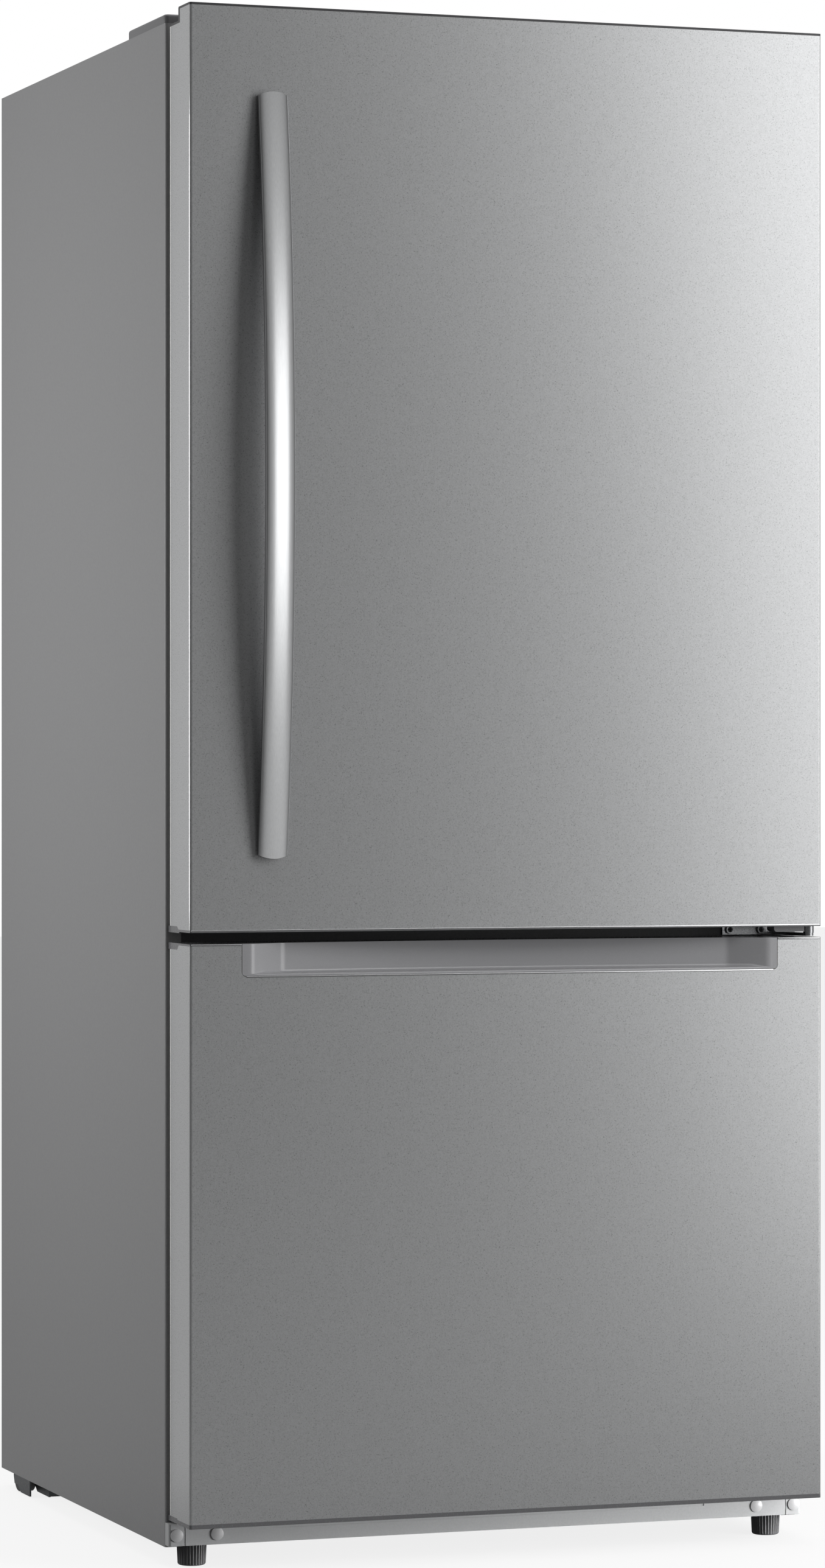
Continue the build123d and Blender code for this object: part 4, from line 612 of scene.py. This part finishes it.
def addBins(look):
    # open tubs, evenly spaced up the door
    low, high = boxOf("door_bins")
    floors = np.linspace(low[2], high[2] - look["height"], look["count"])
    tubs = [tub(look, (low[0], low[1], floor), high) for floor in floors]
    addPiece("door_bin_tubs", joined(tubs), "clear_plastic", "fridge_door", ["door_bins"])


addBins(binLook)

shelfTrimLook = {
    "steps": (0, 182, 170, 160),  # from each shelf to the next one up
    "tall": 13, "proud": 1.6, "sink": 1.0,
    "end": 3, "margin": 0.4, "radius": 3, "edge": 1.8,
}


def addShelfTrims(look):
    # crowned satin strip along the front of each shelf's frame
    low, high = boxOf("shelf_frames")
    half = look["tall"] / 2
    strips = [plate((0, low[1] + look["sink"], low[2] + rise + half), facingFront, high[0] - look["end"],
                    half - look["margin"], look["radius"], look["proud"] + look["sink"], look["edge"])
              for rise in np.cumsum(look["steps"])]
    addPiece("shelf_trims", joined(strips), "aluminium", "cabinet")


addShelfTrims(shelfTrimLook)

lensLook = {"half": (60, 28), "fromBack": 37.5, "rise": 5, "sink": 0.5, "radius": 9, "edge": 3.5}


def addLens(look):
    # opal cover of the lamp, a plate with a rounded lower edge under the control box
    low, high = boxOf("control_panel")
    lens = plate((0, high[1] - look["fromBack"], low[2] + look["sink"]), facingDown, *look["half"],
                 look["radius"], look["rise"] + look["sink"], look["edge"])
    addPiece("lamp_cover", lens, "opal_plastic", "cabinet")


addLens(lensLook)

buttonLook = {"cap": (14, 11), "radius": 3, "edge": 1.4,
              "flange": 1.2, "flangeRadius": 1.5, "flangeEdge": 0.3}


def addButtons(look):
    # each button is a cap with a rounded edge on a thin flange, both of them plates
    for name in ("fridge", "freezer"):
        low, high = boxOf("button_" + name)
        origin = ((low[0] + high[0]) / 2, (low[1] + high[1]) / 2, high[2])
        half, deep = (high - low) / 2, high[2] - low[2]
        cap = plate(origin, facingDown, *look["cap"], look["radius"], deep, look["edge"])
        flange = plate(origin, facingDown, half[0], half[1], look["flangeRadius"], look["flange"],
                       look["flangeEdge"])
        addPiece(name + "_push_button", joined([cap, flange]), "light_plastic", name + "_button",
                 ["button_" + name])


addButtons(buttonLook)

grilleLook = {
    "proud": 0.9,       # of the evaporator's cover
    "rings": (12, 23, 34, 45), "wire": 1.1,
    "hoop": 51, "hoopWire": 1.8,
    "spoke": 1.3, "spokeRadius": 0.5, "spokeHalf": 0.7, "spokeEdge": 0.3,
}


def addGrille(look):
    # guard of round wires and two crossed flat spokes in front of the freezer's fan
    fanLow, fanHigh = boxOf("evaporator_fan_blade")
    origin = (0, boxOf("evaporator_cover")[0][1] - look["proud"], (fanLow[2] + fanHigh[2]) / 2)
    shapes = [hoop(origin, facingFront, radius, look["wire"]) for radius in look["rings"]]
    shapes.append(hoop(origin, facingFront, look["hoop"], look["hoopWire"]))
    shapes += [plate(origin, facingFront, across, up, look["spokeRadius"], look["spokeHalf"],
                     look["spokeEdge"], -look["spokeHalf"])
               for across, up in ((look["hoop"], look["spoke"]), (look["spoke"], look["hoop"]))]
    addPiece("fan_guard", joined(shapes), "white_plastic", "cabinet")


addGrille(grilleLook)
print("stage: seals, bins, shelf trims, lamp cover, buttons and fan guard")

floorLook = {
    "half": 20.0,       # half of its side, in metres
    "colour": "787878",
    "level": 0.83,      # how bright the floor looks
    "front": 0.06,      # how bright it is in reflections, before the object and behind it
    "back": 0.38,
    "turn": 0.5,        # metres before and behind the object over which that changes
}


def addFloor(look):
    # a grey floor that takes shadows, and glows where the camera, metal and glass see it
    half = look["half"]
    mesh = bpy.data.meshes.new("studio_floor")
    mesh.from_pydata([(-half, -half, 0), (half, -half, 0), (half, half, 0), (-half, half, 0)], [],
                     [(0, 1, 2, 3)])
    floor = bpy.data.objects.new("studio_floor", mesh)
    bpy.context.scene.collection.objects.link(floor)
    material = bpy.data.materials.new("white_studio_floor")
    material.use_nodes = True
    tree = material.node_tree
    tree.nodes.clear()
    matt = addNode(tree, "BsdfDiffuse", {"Color": linear(look["colour"])})
    ray = addNode(tree, "LightPath")
    where = addNode(tree, "SeparateXYZ", {"Vector": addNode(tree, "TexCoord").outputs["Object"]})
    reflected = addNode(tree, "MapRange", {"Value": where.outputs["Y"],
                                           "From Min": -look["turn"], "From Max": look["turn"],
                                           "To Min": look["front"] / look["level"],
                                           "To Max": look["back"] / look["level"]})
    glossy = addNode(tree, "Math", {0: ray.outputs["Is Glossy Ray"], 1: reflected.outputs["Result"]},
                     operation="MULTIPLY")
    seen = addNode(tree, "Math", {0: ray.outputs["Is Camera Ray"], 1: glossy.outputs[0]}, operation="MAXIMUM")
    through = addNode(tree, "Math", {0: seen.outputs[0], 1: ray.outputs["Is Transmission Ray"]},
                      operation="MAXIMUM")
    glow = addNode(tree, "Math", {0: through.outputs[0], 1: look["level"]}, operation="MULTIPLY")
    white = addNode(tree, "Emission", {"Strength": glow.outputs[0]})
    both = addNode(tree, "AddShader", {0: matt.outputs[0], 1: white.outputs[0]})
    addNode(tree, "OutputMaterial", {"Surface": both.outputs[0]})
    mesh.materials.append(material)


roomLook = {
    "front": 0.09,      # level of the studio in front of the object
    "back": 0.52,       # and of the backdrop behind it
    "turn": 0.25,       # how far a direction points forward or back, from 0 to 1, while that changes
}


def addRoom(look):
    # a world that darkens towards the front, and is white to the camera and through glass
    world = bpy.data.worlds.new("studio")
    bpy.context.scene.world = world
    world.use_nodes = True
    tree = world.node_tree
    tree.nodes.clear()
    direction = addNode(tree, "SeparateXYZ", {"Vector": addNode(tree, "TexCoord").outputs["Generated"]})
    room = addNode(tree, "MapRange", {"Value": direction.outputs["Y"],
                                      "From Min": -look["turn"], "From Max": look["turn"],
                                      "To Min": look["front"], "To Max": look["back"]},
                   interpolation_type="SMOOTHSTEP")
    ray = addNode(tree, "LightPath")
    seen = addNode(tree, "Math", {0: ray.outputs["Is Camera Ray"], 1: ray.outputs["Is Transmission Ray"]},
                   operation="MAXIMUM")
    level = addNode(tree, "Math", {0: room.outputs["Result"], 1: seen.outputs[0]}, operation="MAXIMUM")
    background = addNode(tree, "Background", {"Color": (1, 1, 1, 1), "Strength": level.outputs[0]})
    addNode(tree, "OutputWorld", {"Surface": background.outputs[0]})


gripNames = ("grip_pocket", "fridge_door_hems", "freezer_drawer_hems")
kickNames = ("kick_plate", "kick_corners", "kick_screw_caps", "front_foot_left", "front_foot_right")
insideNames = (
    "fridge_liner", "freezer_liner", "shelf_frames", "crisper_divider", "crisper_left", "crisper_right",
    "control_panel", "air_duct", "damper_flap", "evaporator_cover", "evaporator_fan_blade", "lower_basket",
    "upper_basket", "fridge_door_liner", "drawer_liner", "shelf_trims", "door_bin_tubs", "fan_guard",
    "lamp_cover", "fridge_push_button", "freezer_push_button",
)
clearNames = ("crisper_left", "crisper_right", "door_bin_tubs", "shelf_glass")

# place, aim and size in metres; a lamp lights only the pieces named as lit, or all but those named as unlit,
# and those named as clear don't shade the others
lamps = {
    "key": {"at": (1.610, -1.833, 1.735), "aim": (0, -0.3645, 1.0), "size": (1.59, 3.56), "watts": 40,
            "unlit": ["handle_face"]},
    "fill": {"at": (3.83, -3.57, 1.9), "aim": (0, -0.3645, 1.0), "size": (2.2, 2.4), "watts": 122,
             "mirrored": False},
    "side": {"at": (-2.4, 0.6, 1.25), "aim": (-0.375, 0.0, 1.15), "size": (1.0, 1.2), "watts": 9,
             "spread": 100, "unlit": ["handle_face"]},
    "handle": {"at": (0.64, -2.98, 1.35), "aim": (-0.279, -0.39, 1.2), "size": (2.5, 1.0), "watts": 17.5,
               "lit": ["handle_face"]},
    "handle_glow": {"at": (0.12, -1.52, 1.25), "aim": (-0.279, -0.39, 1.2), "size": (2.4, 2.4), "watts": 7.6,
                    "lit": ["handle_face"]},
    "grip": {"at": (-0.1, -1.75, 1.9), "aim": (0, -0.35, 0.66), "size": (3.2, 0.7), "watts": 13,
             "lit": gripNames},
    "inside": {"at": (-1.3, -3.0, 1.7), "aim": (0, 0, 0.95), "size": (1.8, 1.8), "watts": 46,
               "lit": insideNames, "clear": clearNames},
    "top": {"at": (0, 0.2, 4.4), "aim": (0, 0, 0), "size": (3.0, 3.0), "watts": 38, "unlit": ["handle_face"]},
    "kick": {"at": (1.3, -1.2, 0.09), "aim": (0.1, -0.29, 0.04), "size": (0.6, 0.13), "watts": 22,
             "lit": kickNames},
}


def linked(name, pieces, state):
    # a collection of those pieces for a lamp, each with that link state
    chosen = bpy.data.collections.new(name)
    for piece in pieces:
        chosen.objects.link(bpy.data.objects[piece])
    for entry in chosen.collection_objects:
        entry.light_linking.link_state = state
    return chosen


def addLamp(name, look):
    # a rectangle of light that faces its aim
    data = bpy.data.lights.new(name, "AREA")
    data.shape = "RECTANGLE"
    data.size, data.size_y = look["size"]
    data.energy = look["watts"]
    data.spread = math.radians(look.get("spread", 180))
    lamp = bpy.data.objects.new(name, data)
    bpy.context.scene.collection.objects.link(lamp)
    lamp.visible_camera = False
    lamp.visible_glossy = look.get("mirrored", True)
    lamp.location = look["at"]
    lamp.rotation_euler = (Vector(look["aim"]) - Vector(look["at"])).to_track_quat("-Z", "Y").to_euler()
    if "clear" in look:
        lamp.light_linking.blocker_collection = linked(name + "_clear", look["clear"], "EXCLUDE")
    if "lit" in look:
        lamp.light_linking.receiver_collection = linked(name + "_receivers", look["lit"], "INCLUDE")
    if "unlit" in look:
        lamp.light_linking.receiver_collection = linked(name + "_receivers", look["unlit"], "EXCLUDE")


photoHeight = 2576  # pixels

cameraLook = {
    "at": (-2.0233, -5.7445, 0.876),
    "turn": 19.514,     # degrees to the right
    "lens": 119.82, "sensor": 36,
    "shift": -32,       # pixels of the photo
    "near": 0.1, "far": 100,
}


def addCamera(look):
    # a level camera, shifted as the photo's framing needs
    data = bpy.data.cameras.new("camera")
    data.lens, data.sensor_width = look["lens"], look["sensor"]
    data.shift_y = look["shift"] / photoHeight
    data.clip_start, data.clip_end = look["near"], look["far"]
    camera = bpy.data.objects.new("camera", data)
    bpy.context.scene.collection.objects.link(camera)
    camera.location = look["at"]
    camera.rotation_euler = (math.radians(90), 0, -math.radians(look["turn"]))
    bpy.context.scene.camera = camera


addFloor(floorLook)
addRoom(roomLook)
for lampName, lampLook in lamps.items():
    addLamp(lampName, lampLook)
addCamera(cameraLook)
bpy.context.scene.view_settings.view_transform = "Standard"
print("stage: studio")
